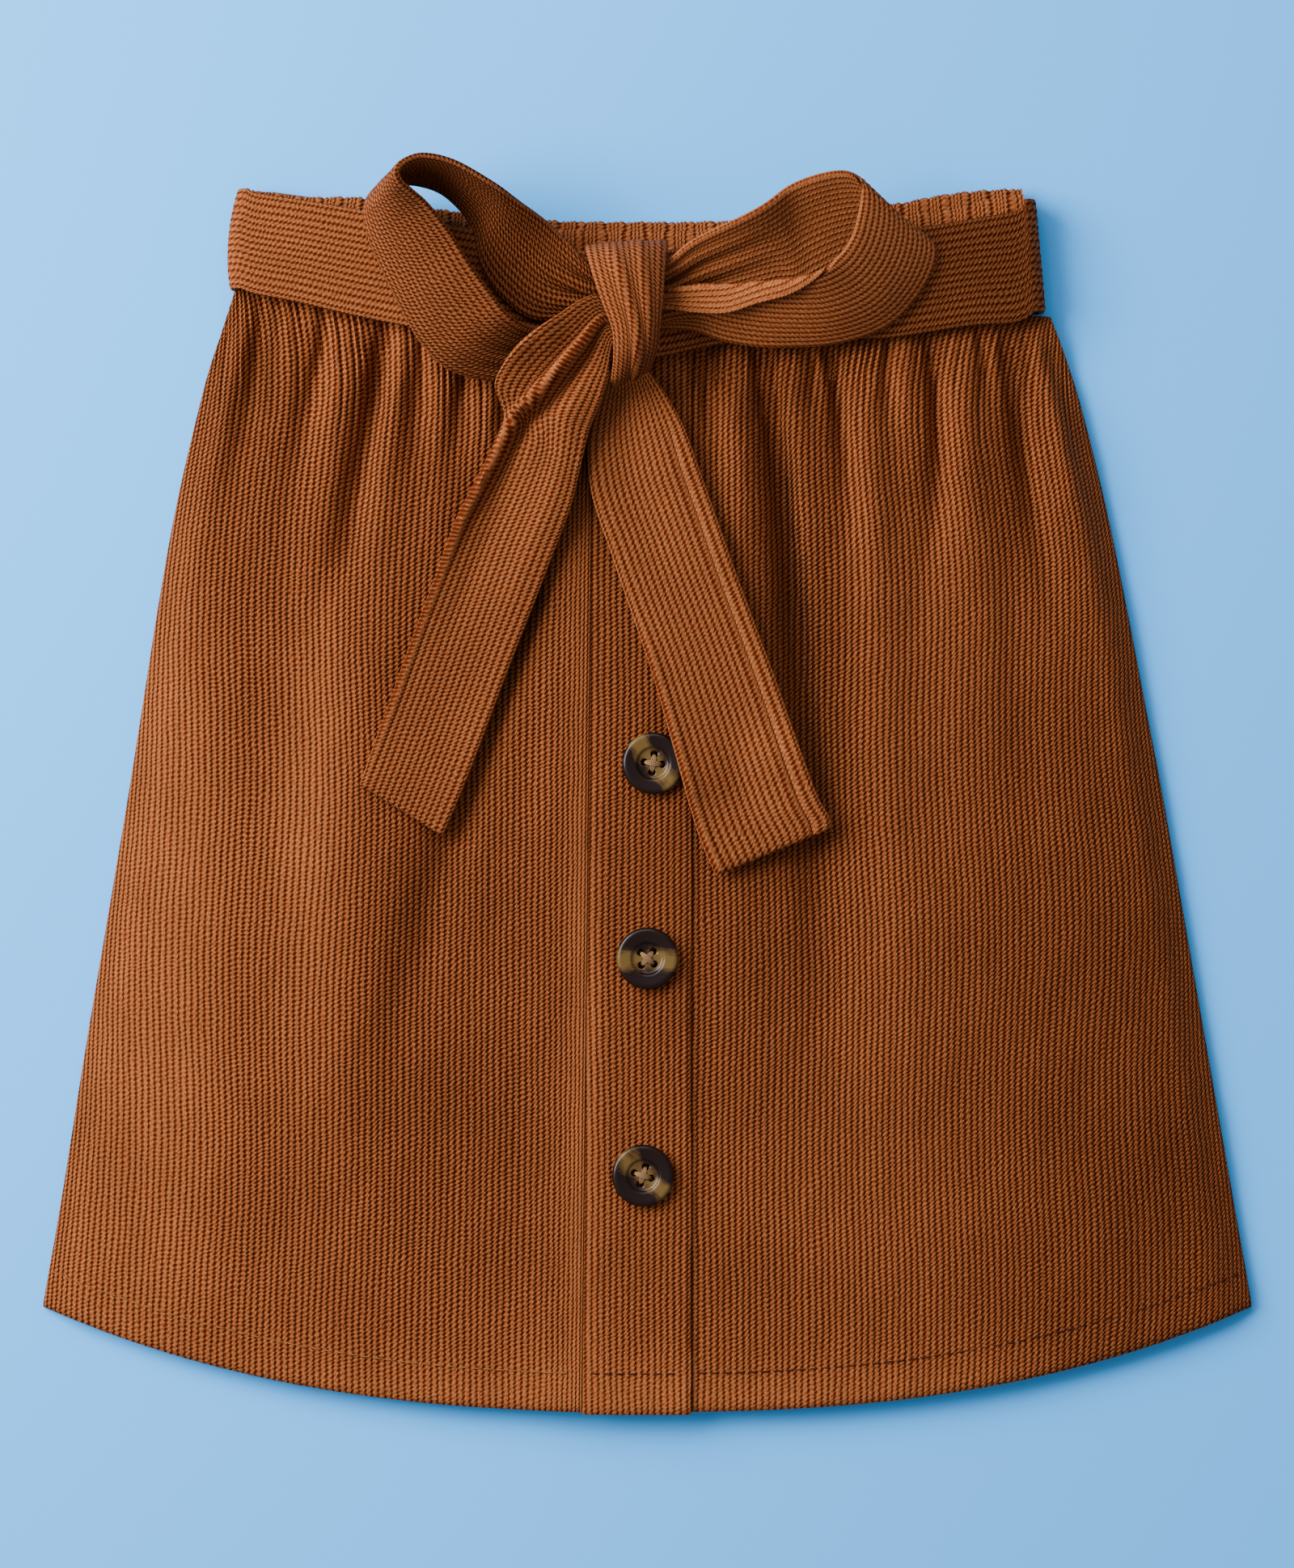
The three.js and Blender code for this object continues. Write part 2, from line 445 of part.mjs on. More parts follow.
const FRONT_BANDS = [
  { from: 0, to: 0.42, rows: 5, columns: 12 },
  { from: 0.42, to: 0.82, rows: 6, columns: 26 },
  { from: 0.82, to: 1, rows: 7, columns: 60 },
];
const BACK_BANDS = [
  { from: 0, to: 0.92, rows: 7, columns: 20 },
  { from: 0.92, to: 1, rows: 3, columns: 30 },
];
const PLACKET_BANDS = FRONT_BANDS.map((band) => ({ ...band, columns: 4 }));

function skirtBack() {
  const left = (y) => sideAt(y, 'left');
  const right = (y) => sideAt(y, 'right');
  return piece('skirt_back', shell(panelRows(left, right, BACK_BANDS, backLift, CLOTH)), CORDUROY);
}

function skirtFrontLeft() {
  const left = (y) => sideAt(y, 'left');
  const right = (y) => placketSeam(y) - GAP;
  const underside = (x, y) => {
    const toSeam = right(y) - x;
    return frontUnderside(x, y) + LIFT_ONTO_UNDERLAP * (1 - smoothstep(toSeam, 0, LIFT_RUN));
  };
  return piece('skirt_front_left', shell(panelRows(left, right, FRONT_BANDS, underside, CLOTH)), CORDUROY);
}

function skirtFrontRight() {
  const left = () => PLACKET.underlap;
  const right = (y) => sideAt(y, 'right');
  const rows = panelRows(left, right, FRONT_BANDS, frontUnderside, CLOTH);
  return piece('skirt_front_right', shell(rows), CORDUROY);
}

function placket() {
  const right = () => PLACKET.fold;
  const underside = (x, y) => frontUnderside(x, y) + LIFT_ONTO_UNDERLAP;
  const rows = panelRows(placketSeam, right, PLACKET_BANDS, underside, PLACKET_THICK);
  return piece('placket', shell(rows), CORDUROY);
}

// ---- Waistband --------------------------------------------------------------------------------------------
// The two ends of the waist: the left one bows out, the right one is straight and leans in a little.
const CASING_MIDDLE = 130;
const bowedEnd = (x) => (y) => x + 2.6 * ((y - 129) / 17) ** 2;
const straightEnd = (x) => (y) => x - 0.09 * (y - 117);
const CASING_SIDES = { left: bowedEnd(-100.7), right: straightEnd(95.0) };
const RUCKS = 36; // ruckles across one half of the waist
const RUCK_SAMPLES = 4; // columns drawn for each
const RUCK_DRIFT = 0.12; // how unevenly they are spaced, as a share of one
const RUCK_EDGE = 0.6; // how far a ruckle also draws down the top edge, as a share of its depth
const CASING_PROFILE = [
  { up: 0, full: 0.75 },
  { up: 0.92, full: 1 },
  { up: 1, full: 0.45 },
];

/** One half of the casing: flat on its inner side, ruckled on its outer side and along its top edge. */
function casing(name, topColumn, floorZ) {
  const rows = CASING_PROFILE.map(({ up, full }) => steps(RUCKS * RUCK_SAMPLES).map((s) => {
    const guess = lerp(CASING_SIDES.left(CASING_MIDDLE), CASING_SIDES.right(CASING_MIDDLE), s);
    const wave = Math.sin(2 * Math.PI * (s * RUCKS + RUCK_DRIFT * Math.sin(9 * s)));
    const ruck = CASING_RUCK * (0.5 - 0.5 * wave);
    const low = waistAt(guess, 'seam') + SEAM_GAP;
    const high = waistAt(guess, topColumn) - RUCK_EDGE * ruck;
    const y = lerp(low, high, up);
    const x = lerp(CASING_SIDES.left(y), CASING_SIDES.right(y), s);
    const bottom = floorZ + ((1 - full) * CASING_THICK) / 2;
    const top = bottom + (CASING_THICK - ruck) * full;
    return { bottom: new THREE.Vector3(x, y, bottom), top: new THREE.Vector3(x, y, top) };
  }));
  return piece(name, shell(rows), CORDUROY);
}

// ---- Belt -------------------------------------------------------------------------------------------------
const BELT_ENDS = { left: bowedEnd(-103.4), right: straightEnd(98.0) };

/** The belt's middle line through its thickness where it turns the side and runs a little way under. */
function beltTurn(endX, side) {
  const r = BELT_TURN_RADIUS;
  const wall = endX - side * (BELT_THICK / 2);
  const upper = BELT_Z + BELT_THICK / 2;
  const lower = BELT_THICK / 2;
  const arc = (cz, from) => steps(3).map((part) => {
    const angle = from - part * (Math.PI / 2);
    return { x: wall - side * r + side * r * Math.cos(angle), z: cz + r * Math.sin(angle) };
  });
  const lap = { x: wall - side * (r + BELT_LAP), z: lower };
  return [...arc(upper - r, Math.PI / 2), ...arc(lower + r, 0), lap];
}

/** A front stretch of the belt, from under the knot (side -1 or 1) round the side to its lap beneath. */
function beltSide(name, side, supports) {
  const way = side < 0 ? 'left' : 'right';
  const inner = BELT_MEETS + (side * GAP) / 2;
  const across = steps(4);
  const run = (x, column) => readColumn(BELT_RUNS, 'x', column, x);
  const edge = (x, w) => lerp(run(x, 'bottom'), run(x, 'top'), w);
  const sections = steps(9).map((s) => {
    const x = lerp(inner, BELT_FLAT[way], s);
    const rest = Math.max(...across.map((w) => highestNear(supports, x, edge(x, w), BELT_REACH)));
    const z = Math.max(rest + BELT_SETTLE, BELT_Z) + BELT_THICK / 2;
    return across.map((w) => new THREE.Vector3(x, edge(x, w), z));
  });
  const endRow = side < 0 ? BELT_RUNS[0] : BELT_RUNS.at(-1);
  beltTurn(0, side).forEach((_, i) => {
    sections.push(across.map((w) => {
      const y = lerp(endRow.bottom, endRow.top, w);
      const point = beltTurn(BELT_ENDS[way](y), side)[i];
      return new THREE.Vector3(point.x, y, point.z);
    }));
  });
  return piece(name, shell(thicken(sections, BELT_THICK)), BELT_CLOTH);
}

/** The back stretch, flat on the floor between the two laps and sagging toward the hem. */
function beltBack() {
  const inset = BELT_THICK / 2 + BELT_TURN_RADIUS + BELT_LAP + GAP;
  const [first, last] = [BELT_RUNS[0], BELT_RUNS.at(-1)];
  const rows = steps(16).map((s) => steps(2).map((w) => {
    const level = lerp(lerp(first.bottom, first.top, w), lerp(last.bottom, last.top, w), s);
    const x = lerp(BELT_ENDS.left(level) + inset, BELT_ENDS.right(level) - inset, s);
    const y = level - BELT_BACK_DIP * Math.sin(Math.PI * s);
    return { bottom: new THREE.Vector3(x, y, 0), top: new THREE.Vector3(x, y, BELT_THICK) };
  }));
  return piece('belt_back', shell(rows), BELT_CLOTH);
}

// ---- Bow --------------------------------------------------------------------------------------------------
/** A unit vector in a compass direction, tilted up from level; both in radians. */
function toward(angle, tilt) {
  const level = Math.cos(tilt);
  return new THREE.Vector3(Math.cos(angle) * level, Math.sin(angle) * level, Math.sin(tilt));
}

/** Sections of a loop: each stands on its lower edge, leans, bellies and may be folded over at its ridge. */
function loopSections(table, flapAcross) {
  return refine(table, LOOP_STEPS).map((row) => {
    const aim = degToRad(row.aim);
    const lean = degToRad(row.lean);
    const down = toward(aim, lean - Math.PI / 2);
    const face = toward(aim, lean);
    const height = BELT_WIDTH * row.share - row.flap;
    const lowest = BOW_Z + (BELT_THICK / 2) * Math.sin(lean);
    const ridge = new THREE.Vector3(row.x, row.y, lowest - down.z * height);
    const wall = steps(LOOP_ACROSS).map((w) => {
      const belly = row.crown * Math.sin(Math.PI * w);
      return ridge.clone().addScaledVector(down, height * (1 - w)).addScaledVector(face, belly);
    });
    const flapWay = toward(aim, -degToRad(FLAP_DROOP));
    const flap = steps(flapAcross).slice(1).map((w) => ridge.clone().addScaledVector(flapWay, row.flap * w));
    return [...wall, ...flap];
  });
}

function loop(name, table, flapAcross) {
  return piece(name, shell(thicken(loopSections(table, flapAcross), BELT_THICK)), BELT_CLOTH);
}

function knot() {
  const sections = refine(KNOT, KNOT_STEPS).map((row) => steps(KNOT_ACROSS).map((w) => {
    const off = 2 * w - 1;
    const x = lerp(row.left, row.right, w);
    return new THREE.Vector3(x, row.y + row.skew * w, row.z - KNOT_CROWN * off * off);
  }));
  return piece('knot', shell(thicken(sections, KNOT_THICK)), BELT_CLOTH);
}

const CAST_FROM = 80; // above everything
const DOWN = new THREE.Vector3(0, 0, -1);

/** Height of the highest surface of some meshes near a point. */
function highestNear(meshes, x, y, radius) {
  const ring = steps(8).slice(1).map((s) => toward(2 * Math.PI * s, 0).multiplyScalar(radius));
  const heights = [new THREE.Vector3(), ...ring].map((offset) => {
    const from = offset.add(new THREE.Vector3(x, y, CAST_FROM));
    const hit = new THREE.Raycaster(from, DOWN).intersectObjects(meshes)[0];
    return hit ? hit.point.z : 0;
  });
  return Math.max(...heights);
}

/** One pass of evening out a grid of heights, none of them sinking below its floor. */
function settle(heights, floors) {
  return heights.map((row, r) => row.map((z, c) => {
    const around = [heights[r - 1]?.[c], heights[r + 1]?.[c], row[c - 1], row[c + 1]];
    const known = around.filter((h) => h !== undefined);
    const mean = known.reduce((a, b) => a + b, 0) / known.length;
    return Math.max(floors[r][c], lerp(z, mean, TAIL_STIFFNESS.share));
  }));
}

/** Lays a tail on what is below it: stiff enough to bridge the folds, and never nearer than the gap. */
function layTail(name, table, supports) {
  const places = refine(table, TAIL_STEPS).map((row) => steps(TAIL_ACROSS).map((w) => {
    const x = lerp(row.lx, row.rx, w);
    const y = lerp(row.ly, row.ry, w);
    const rest = highestNear(supports, x, y, TAIL_REACH) + GAP + TAIL_THICK / 2;
    const crease = row.vee * (1 - Math.abs(2 * w - 1) * 2);
    return { x, y, floor: Math.max(rest, row.z - crease) };
  }));
  const floors = places.map((row) => row.map((place) => place.floor));
  let heights = floors;
  for (let pass = 0; pass < TAIL_STIFFNESS.passes; pass += 1) {
    heights = settle(heights, floors);
  }
  const sections = places.map((row, r) => row.map(({ x, y }, c) => new THREE.Vector3(x, y, heights[r][c])));
  return piece(name, shell(thicken(sections, TAIL_THICK)), BELT_CLOTH);
}

// ---- Buttons ----------------------------------------------------------------------------------------------
function toManifold(geometry) {
  const bare = geometry.clone();
  bare.deleteAttribute('normal');
  bare.deleteAttribute('uv');
  const merged = mergeVertices(bare, 1e-4);
  const vertProperties = merged.attributes.position.array;
  const triVerts = Uint32Array.from(merged.index.array);
  return new wasm.Manifold(new wasm.Mesh({ numProp: 3, vertProperties, triVerts }));
}

function fromManifold(solid) {
  const { vertProperties, triVerts } = solid.getMesh();
  const geometry = new THREE.BufferGeometry();
  geometry.setAttribute('position', new THREE.BufferAttribute(Float32Array.from(vertProperties), 3));
  geometry.setIndex(new THREE.BufferAttribute(Uint32Array.from(triVerts), 1));
  return geometry;
}

/** A turned disc with a shallow dish and four sewing holes, on the XY plane. */
function buttonGeometry() {
  const { radius, thick, dish, dishDepth, hole, pitch, edge } = BUTTON;
  const profile = [
    [0, 0], [radius - 2 * edge, 0], [radius - 0.3 * edge, 0.4 * edge], [radius, thick / 2],
    [radius - edge, thick], [dish + 0.6, thick - 0.25], [dish - 0.5, thick - dishDepth],
    [0, thick - dishDepth],
  ].map(([r, z]) => new THREE.Vector2(r, z));
  const disc = new THREE.LatheGeometry(profile, 18).rotateX(Math.PI / 2);
  let solid = toManifold(disc);
  for (const sx of [-1, 1]) {
    for (const sy of [-1, 1]) {
      const drill = new THREE.CylinderGeometry(hole, hole, 4 * thick, 8).rotateX(Math.PI / 2);
      drill.translate((sx * pitch) / 2, (sy * pitch) / 2, 0);
      solid = solid.subtract(toManifold(drill));
    }
  }
  return fromManifold(solid);
}

function buttons(supports) {
  return BUTTONS.map(({ name, x, y, turn }) => {
    const button = new THREE.Mesh(buttonGeometry(), HORN);
    button.name = name;
    button.position.set(x, y, highestNear(supports, x, y, BUTTON.radius) + GAP);
    button.rotation.z = degToRad(turn);
    button.updateMatrixWorld(true);
    return button;
  });
}

/** Moves every piece so that the middle of the whole box stands over the origin, the floor left at z = 0. */
function centre(group) {
  const middle = new THREE.Box3().setFromObject(group).getCenter(new THREE.Vector3());
  group.children.forEach((child) => {
    child.position.x -= middle.x;
    child.position.y -= middle.y;
  });
  group.updateMatrixWorld(true);
}

// ---- The skirt --------------------------------------------------------------------------------------------
const skirt = new THREE.Group();
skirt.name = 'skirt';
const panels = [skirtBack(), skirtFrontLeft(), skirtFrontRight(), placket()];
const waistband = [
  casing('waistband_front', 'front', FRONT_CASING_Z),
  casing('waistband_back', 'back', BACK_CASING_Z),
];
const body = [...panels, ...waistband];
const belts = [beltSide('belt_left', -1, body), beltSide('belt_right', 1, body), beltBack()];
const sewnOn = buttons(panels);
const loops = [loop('loop_left', LOOP_LEFT, 0), loop('loop_right', LOOP_RIGHT, FLAP_ACROSS)];
const tailRight = layTail('tail_right', TAIL_RIGHT, [...body, ...belts, ...sewnOn]);
const tailLeft = layTail('tail_left', TAIL_LEFT, [...body, ...belts, loops[0], tailRight]);
skirt.add(...body, ...belts, ...sewnOn, ...loops, tailRight, tailLeft, knot());
centre(skirt);

export default skirt;
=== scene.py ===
"""A small child's corduroy skirt, laid flat with its belt tied in a bow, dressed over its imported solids.

Every size is in millimetres, in the plan of the cut: +X to the viewer's right, +Y up to the waist, +Z off the
floor. One shift carries that plan into the frame, and meshes are written in metres.
"""

import logging
import math
from dataclasses import dataclass, field
from enum import Enum
from functools import partial
from typing import Callable, Sequence

import bpy
import numpy as np
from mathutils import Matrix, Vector
from mathutils.bvhtree import BVHTree


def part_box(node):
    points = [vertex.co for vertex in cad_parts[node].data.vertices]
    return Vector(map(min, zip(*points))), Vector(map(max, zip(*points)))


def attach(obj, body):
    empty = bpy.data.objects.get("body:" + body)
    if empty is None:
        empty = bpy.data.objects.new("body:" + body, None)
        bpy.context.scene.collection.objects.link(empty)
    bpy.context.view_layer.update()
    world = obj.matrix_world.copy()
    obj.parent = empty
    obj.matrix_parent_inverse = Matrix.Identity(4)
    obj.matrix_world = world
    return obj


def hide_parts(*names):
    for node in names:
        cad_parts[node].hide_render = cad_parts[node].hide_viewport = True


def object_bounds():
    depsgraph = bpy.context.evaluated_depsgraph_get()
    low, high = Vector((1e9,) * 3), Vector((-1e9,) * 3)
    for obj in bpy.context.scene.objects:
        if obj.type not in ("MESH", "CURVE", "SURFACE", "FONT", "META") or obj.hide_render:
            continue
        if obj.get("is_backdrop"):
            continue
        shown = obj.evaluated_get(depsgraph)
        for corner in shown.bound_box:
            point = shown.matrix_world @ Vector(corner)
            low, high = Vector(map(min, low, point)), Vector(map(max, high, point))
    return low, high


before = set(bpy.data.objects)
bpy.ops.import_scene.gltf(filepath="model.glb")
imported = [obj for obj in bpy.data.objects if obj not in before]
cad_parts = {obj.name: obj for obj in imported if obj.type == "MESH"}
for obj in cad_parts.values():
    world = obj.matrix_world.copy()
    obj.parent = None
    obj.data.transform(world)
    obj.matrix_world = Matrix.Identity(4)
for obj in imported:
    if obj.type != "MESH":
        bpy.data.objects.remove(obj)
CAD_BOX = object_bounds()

log = logging.getLogger("skirt")

MM = 0.001
TURN = 2 * math.pi
BODY = "root"

Array = np.ndarray
Table = Sequence[Sequence[float]]
Edge = Callable[[Array], Array]  # how far across an edge lies, by height
Field = Callable[[Array, Array], Array]  # a height or a slope at each place of the plan
Piece = bpy.types.Object


class Slot(Enum):
    """The record's material slots."""

    CORDUROY = "corduroy"
    BELT = "belt_corduroy"
    HORN = "horn_button"


# ---- Arithmetic on curves and grids ------------------------------------------------------------------------


def smooth(x: Array, low: float, high: float) -> Array:
    """A soft step from 0 at low to 1 at high."""
    t = np.clip((x - low) / (high - low), 0, 1)
    return t * t * (3 - 2 * t)


def mix(a: Array, b: Array, t: Array) -> Array:
    """Straight blend from a to b."""
    return a + (b - a) * t


def bell(x: Array, wide: float) -> Array:
    """A soft bump, 1 at nought and fading over a width to either side."""
    return np.exp(-((x / wide) ** 2))


class Curve:
    """A smooth curve through the points of a table column."""

    def __init__(self, keys: Sequence[float], values: Sequence[float]) -> None:
        """Works out a slope at each point.

        Args:
            keys: Where each value stands, in rising or falling order.
            values: The values.
        """
        order = np.argsort(keys)
        self.keys, self.values = np.asarray(keys, float)[order], np.asarray(values, float)[order]
        row = np.arange(len(order))
        before, after = np.maximum(row - 1, 0), np.minimum(row + 1, row[-1])
        self.slopes = (self.values[after] - self.values[before]) / (self.keys[after] - self.keys[before])

    def __call__(self, at: Array) -> Array:
        """Reads the curve.

        Args:
            at: Where to read it.

        Returns:
            Its value at each place, level beyond its ends.
        """
        at = np.asarray(at, float)
        i = np.clip(np.searchsorted(self.keys, at, side="right") - 1, 0, len(self.keys) - 2)
        span = self.keys[i + 1] - self.keys[i]
        t = np.clip((at - self.keys[i]) / span, 0, 1)
        bow = t * (1 - t) * ((1 - t) * self.slopes[i] - t * self.slopes[i + 1])
        return mix(self.values[i], self.values[i + 1], t * t * (3 - 2 * t)) + bow * span


def column(table: Table, index: int) -> Curve:
    """The smooth curve of one column of a table by its first column."""
    return Curve([row[0] for row in table], [row[index] for row in table])


def refine(table: Table, steps: int) -> Array:
    """Draws a table again with more rows, on smooth curves through its own.

    Args:
        table: The table.
        steps: How many rows to draw for each of its own.

    Returns:
        The new table.
    """
    rows = np.arange(len(table))
    at = np.linspace(0, rows[-1], rows[-1] * steps + 1)
    return np.stack([Curve(rows, values)(at) for values in zip(*table)], 1)


def resample(grid: Array, at: Array, axis: int = 0) -> Array:
    """Draws a grid again along one axis on smooth curves through its rows.

    Args:
        grid: Values or points on a grid.
        at: Places along the axis, in row numbers.
        axis: The axis to draw again.

    Returns:
        The grid with one row for each place.
    """
    rows = np.moveaxis(np.asarray(grid, float), axis, 0)
    last = len(rows) - 1
    i = np.clip(np.floor(at).astype(int), 0, last - 1)
    t = (at - i).reshape((-1,) + (1,) * (rows.ndim - 1))
    p0, p1 = rows[np.maximum(i - 1, 0)], rows[i]
    p2, p3 = rows[i + 1], rows[np.minimum(i + 2, last)]
    curve = p1 + 0.5 * t * (p2 - p0 + t * (2 * p0 - 5 * p1 + 4 * p2 - p3 + t * (3 * (p1 - p2) + p3 - p0)))
    return np.moveaxis(curve, 0, axis)


def blur(grid: Array, reach: float, axis: int) -> Array:
    """Softens a grid along one axis, leaving its first and last rows where they are.

    Args:
        grid: Values or points on a grid.
        reach: How many rows it softens over.
        axis: The axis.

    Returns:
        The softened grid.
    """
    rows = np.moveaxis(np.asarray(grid, float), axis, 0)
    half = int(3 * reach) + 1
    weights = np.exp(-0.5 * (np.arange(-half, half + 1) / reach) ** 2)
    head, tail = 2 * rows[:1] - rows[half:0:-1], 2 * rows[-1:] - rows[-2 : -half - 2 : -1]
    padded = np.concatenate([head, rows, tail])
    soft = sum(w * padded[k : k + len(rows)] for k, w in enumerate(weights / weights.sum()))
    return np.moveaxis(soft, 0, axis)


def ripple(x: Array, y: Array, length_x: float, length_y: float, seed: int, waves: int = 7) -> Array:
    """A gentle uneven swell, the same on each run, that repeats nowhere in the skirt's size.

    Args:
        x: Places across.
        y: Places up.
        length_x: Usual length of a swell across.
        length_y: Usual length of a swell up.
        seed: What it is drawn from.
        waves: How many waves it is made of.

    Returns:
        The swell at each place, from about -1 to 1.
    """
    rng = np.random.RandomState(seed)
    total = np.zeros(np.broadcast(x, y).shape)
    for _ in range(waves):
        turn, pace = rng.uniform(0, TURN), rng.uniform(0.6, 1.6)
        along = x * math.cos(turn) / length_x + y * math.sin(turn) / length_y
        total = total + np.sin(TURN * pace * along + rng.uniform(0, TURN))
    return total / (0.6 * waves)


def ridge(wale: Array) -> Array:
    """Height of the pile from 0 in a groove to 1 on a wale, by wale number."""
    return 1 - (0.5 - 0.5 * np.cos(TURN * wale)) ** 2.2


PER_WALE = (0, 0.28, 0.5, 0.72)  # a mesh's columns on a wale: its crest, a shoulder, the groove, a shoulder
COARSE_ROWS = 23  # rows of the face that doesn't show


def wale_steps(wales: int) -> Array:
    """Wale numbers of the columns of a mesh."""
    return np.append((np.arange(wales)[:, None] + PER_WALE).ravel(), wales)


def normals(points: Array) -> Array:
    """Unit normals of a grid of points, upward where its columns run to the right and its rows away."""
    n = np.cross(np.gradient(points, axis=1), np.gradient(points, axis=0))
    return n / np.maximum(np.linalg.norm(n, axis=-1, keepdims=True), 1e-9)


def travelled(points: Array) -> Array:
    """Distance from the first point along a line of points."""
    return np.concatenate([[0], np.cumsum(np.linalg.norm(np.diff(points, axis=0), axis=-1))])


def down_middle(points: Array) -> Array:
    """Distance of each row of a grid from its first row, along its middle column."""
    return travelled(points[:, points.shape[1] // 2])


def respace(points: Array, spacing: float) -> Array:
    """Draws a grid of points again with its rows evenly apart.

    Args:
        points: The grid.
        spacing: How far apart its rows are to be, along its middle column.

    Returns:
        The new grid.
    """
    run = down_middle(points)
    stops = np.linspace(0, run[-1], max(int(round(run[-1] / spacing)), 2) + 1)
    return resample(points, np.interp(stops, run, np.arange(len(run))))


# ---- The plan of the skirt ---------------------------------------------------------------------------------


@dataclass(frozen=True)
class Layers:
    """Thicknesses, and the heights at which the layers lie at the waist."""

    cloth: float = 1.4
    gap: float = 0.3
    seam_gap: float = 0.45
    belt: float = 2.0
    belt_width: float = 26.0
    casing: float = 2.8
    placket: float = 1.0

    @property
    def back_casing(self) -> float:
        """Underside of the back half of the waistband."""
        return self.belt + self.gap

    @property
    def front_casing(self) -> float:
        """Underside of the front half of the waistband."""
        return self.back_casing + self.casing + self.gap

    @property
    def belt_under(self) -> float:
        """Underside of the belt where it crosses the front."""
        return self.front_casing + self.casing + self.gap

    @property
    def bow_under(self) -> float:
        """Underside of the bow's loops."""
        return self.belt_under + self.belt + 3 * self.gap


LAYERS = Layers()

HEM_LOW, HEM_RISE, HEM_HALF, HEM_CURVE = -155.5, 25.8, 149.4, 2.4
ORIGIN_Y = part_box("skirt_back")[0].y / MM - HEM_LOW  # the frame's origin is the middle of the whole box
TO_FRAME = np.array([0, ORIGIN_Y, 0])

# Side seams: height, left, right.
SIDES = (
    (122.0, -101.4, 96.6), (113.5, -104.3, 99.9), (103.0, -107.9, 103.9), (93.5, -110.5, 106.9),
    (69.5, -116.1, 112.9), (45.5, -120.5, 117.9), (21.5, -124.3, 122.5), (-2.5, -128.1, 127.1),
    (-66.5, -138.9, 138.3), (-106.5, -145.3, 145.3), (-130.0, -149.4, 149.4), (-156.0, -153.0, 153.0),
)
# Waist: place across, gathered seam, top of the front casing, top of the back casing.
WAIST = (
    (-104, 122.4, 144.8, 147.0), (-86, 119.8, 143.4, 145.0), (-72, 116.6, 142.0, 144.8),
    (-52, 113.6, 139.6, 141.9), (-22, 112.2, 136.7, 139.1), (0, 112.0, 136.1, 138.8),
    (24, 112.2, 136.9, 139.3), (62, 114.2, 139.8, 143.4), (76, 115.4, 141.6, 145.8),
    (88, 115.2, 144.6, 146.8), (99, 114.8, 145.8, 147.0),
)
# Folds: a crest or trough from (x0, y0) through (x1, y1) to (x2, y2), its half width and its height.
FOLDS = (
    (-100.5, 112, -103.5, 98, -108, 76, 3.0, 1.4), (-95.5, 113, -98.5, 90, -105.5, 56, 2.8, -2.6),
    (-86, 112, -90, 84, -98, 30, 5.5, 1.8), (-80, 108, -84, 90, -90, 56, 2.6, -1.8),
    (-73, 110, -77, 90, -86, 44, 4.0, 1.8), (-64.8, 112, -70, 80, -86, 16, 3.3, -5.4),
    (-60.4, 110, -63.4, 84, -72, 30, 3.4, 1.8), (-56, 108, -57, 90, -61, 66, 2.2, -2.0),
    (-51, 106, -51, 86, -55, 40, 3.4, 1.8), (-44.5, 104, -46.5, 90, -52, 66, 2.2, -2.2),
    (-39, 104, -40, 88, -43, 58, 3.0, 1.4), (-34, 102, -35, 88, -38, 60, 2.6, -2.2),
    (-6, 104, -7, 60, -9, 0, 11, -2.4),
    (-30, 44, -51, -24, -80, -150, 6.0, -3.8), (-20, 10, -30, -40, -44, -120, 10, 1.4),
    (-70, 30, -80, -40, -100, -140, 14, 1.4), (14.6, 106, 14.8, 90, 18, 64, 2.2, -3.6),
    (20.5, 106, 22, 78, 29, 36, 3.2, 2.2), (28, 108, 34.5, 58, 44, -90, 3.8, -7.4),
    (36, 106, 38, 80, 44, 40, 3.4, 1.8), (40.5, 106, 41, 98, 42, 84, 1.7, -2.2),
    (44.6, 107, 48.6, 80, 50, 36, 2.6, -3.6), (54, 108, 57, 30, 72, -130, 7.0, 2.6),
    (59, 106, 58.5, 98, 60, 84, 1.7, -2.4), (63.5, 108, 64, 94, 66, 64, 3.2, 1.6),
    (68.8, 110, 71.4, 90, 64, 30, 2.6, -3.6), (76, 110, 79, 74, 84, 0, 5.0, 2.0),
    (81.5, 110, 83.5, 100, 86, 86, 1.7, -2.2), (88.4, 108, 91.5, 88, 106, 20, 2.8, -3.8),
    (95, 110, 102, 86, 118, 10, 3.6, 2.0), (22, -30, 24, -80, 24, -150, 9, 1.0),
    (92, 10, 98, -50, 104, -150, 12, -1.4), (118, 20, 124, -50, 132, -150, 10, 0.8),
)


def upright(x: float) -> Edge:
    """An edge that runs straight up."""
    return lambda y: x + 0 * np.asarray(y)


def bowed_end(x: float) -> Edge:
    """The left end of the waist or belt, bowing out a little at its corners."""
    return lambda y: x + 2.6 * ((y - 129) / 17) ** 2


def straight_end(x: float) -> Edge:
    """The right end of the waist or belt, leaning in a little."""
    return lambda y: x - 0.09 * (y - 117)


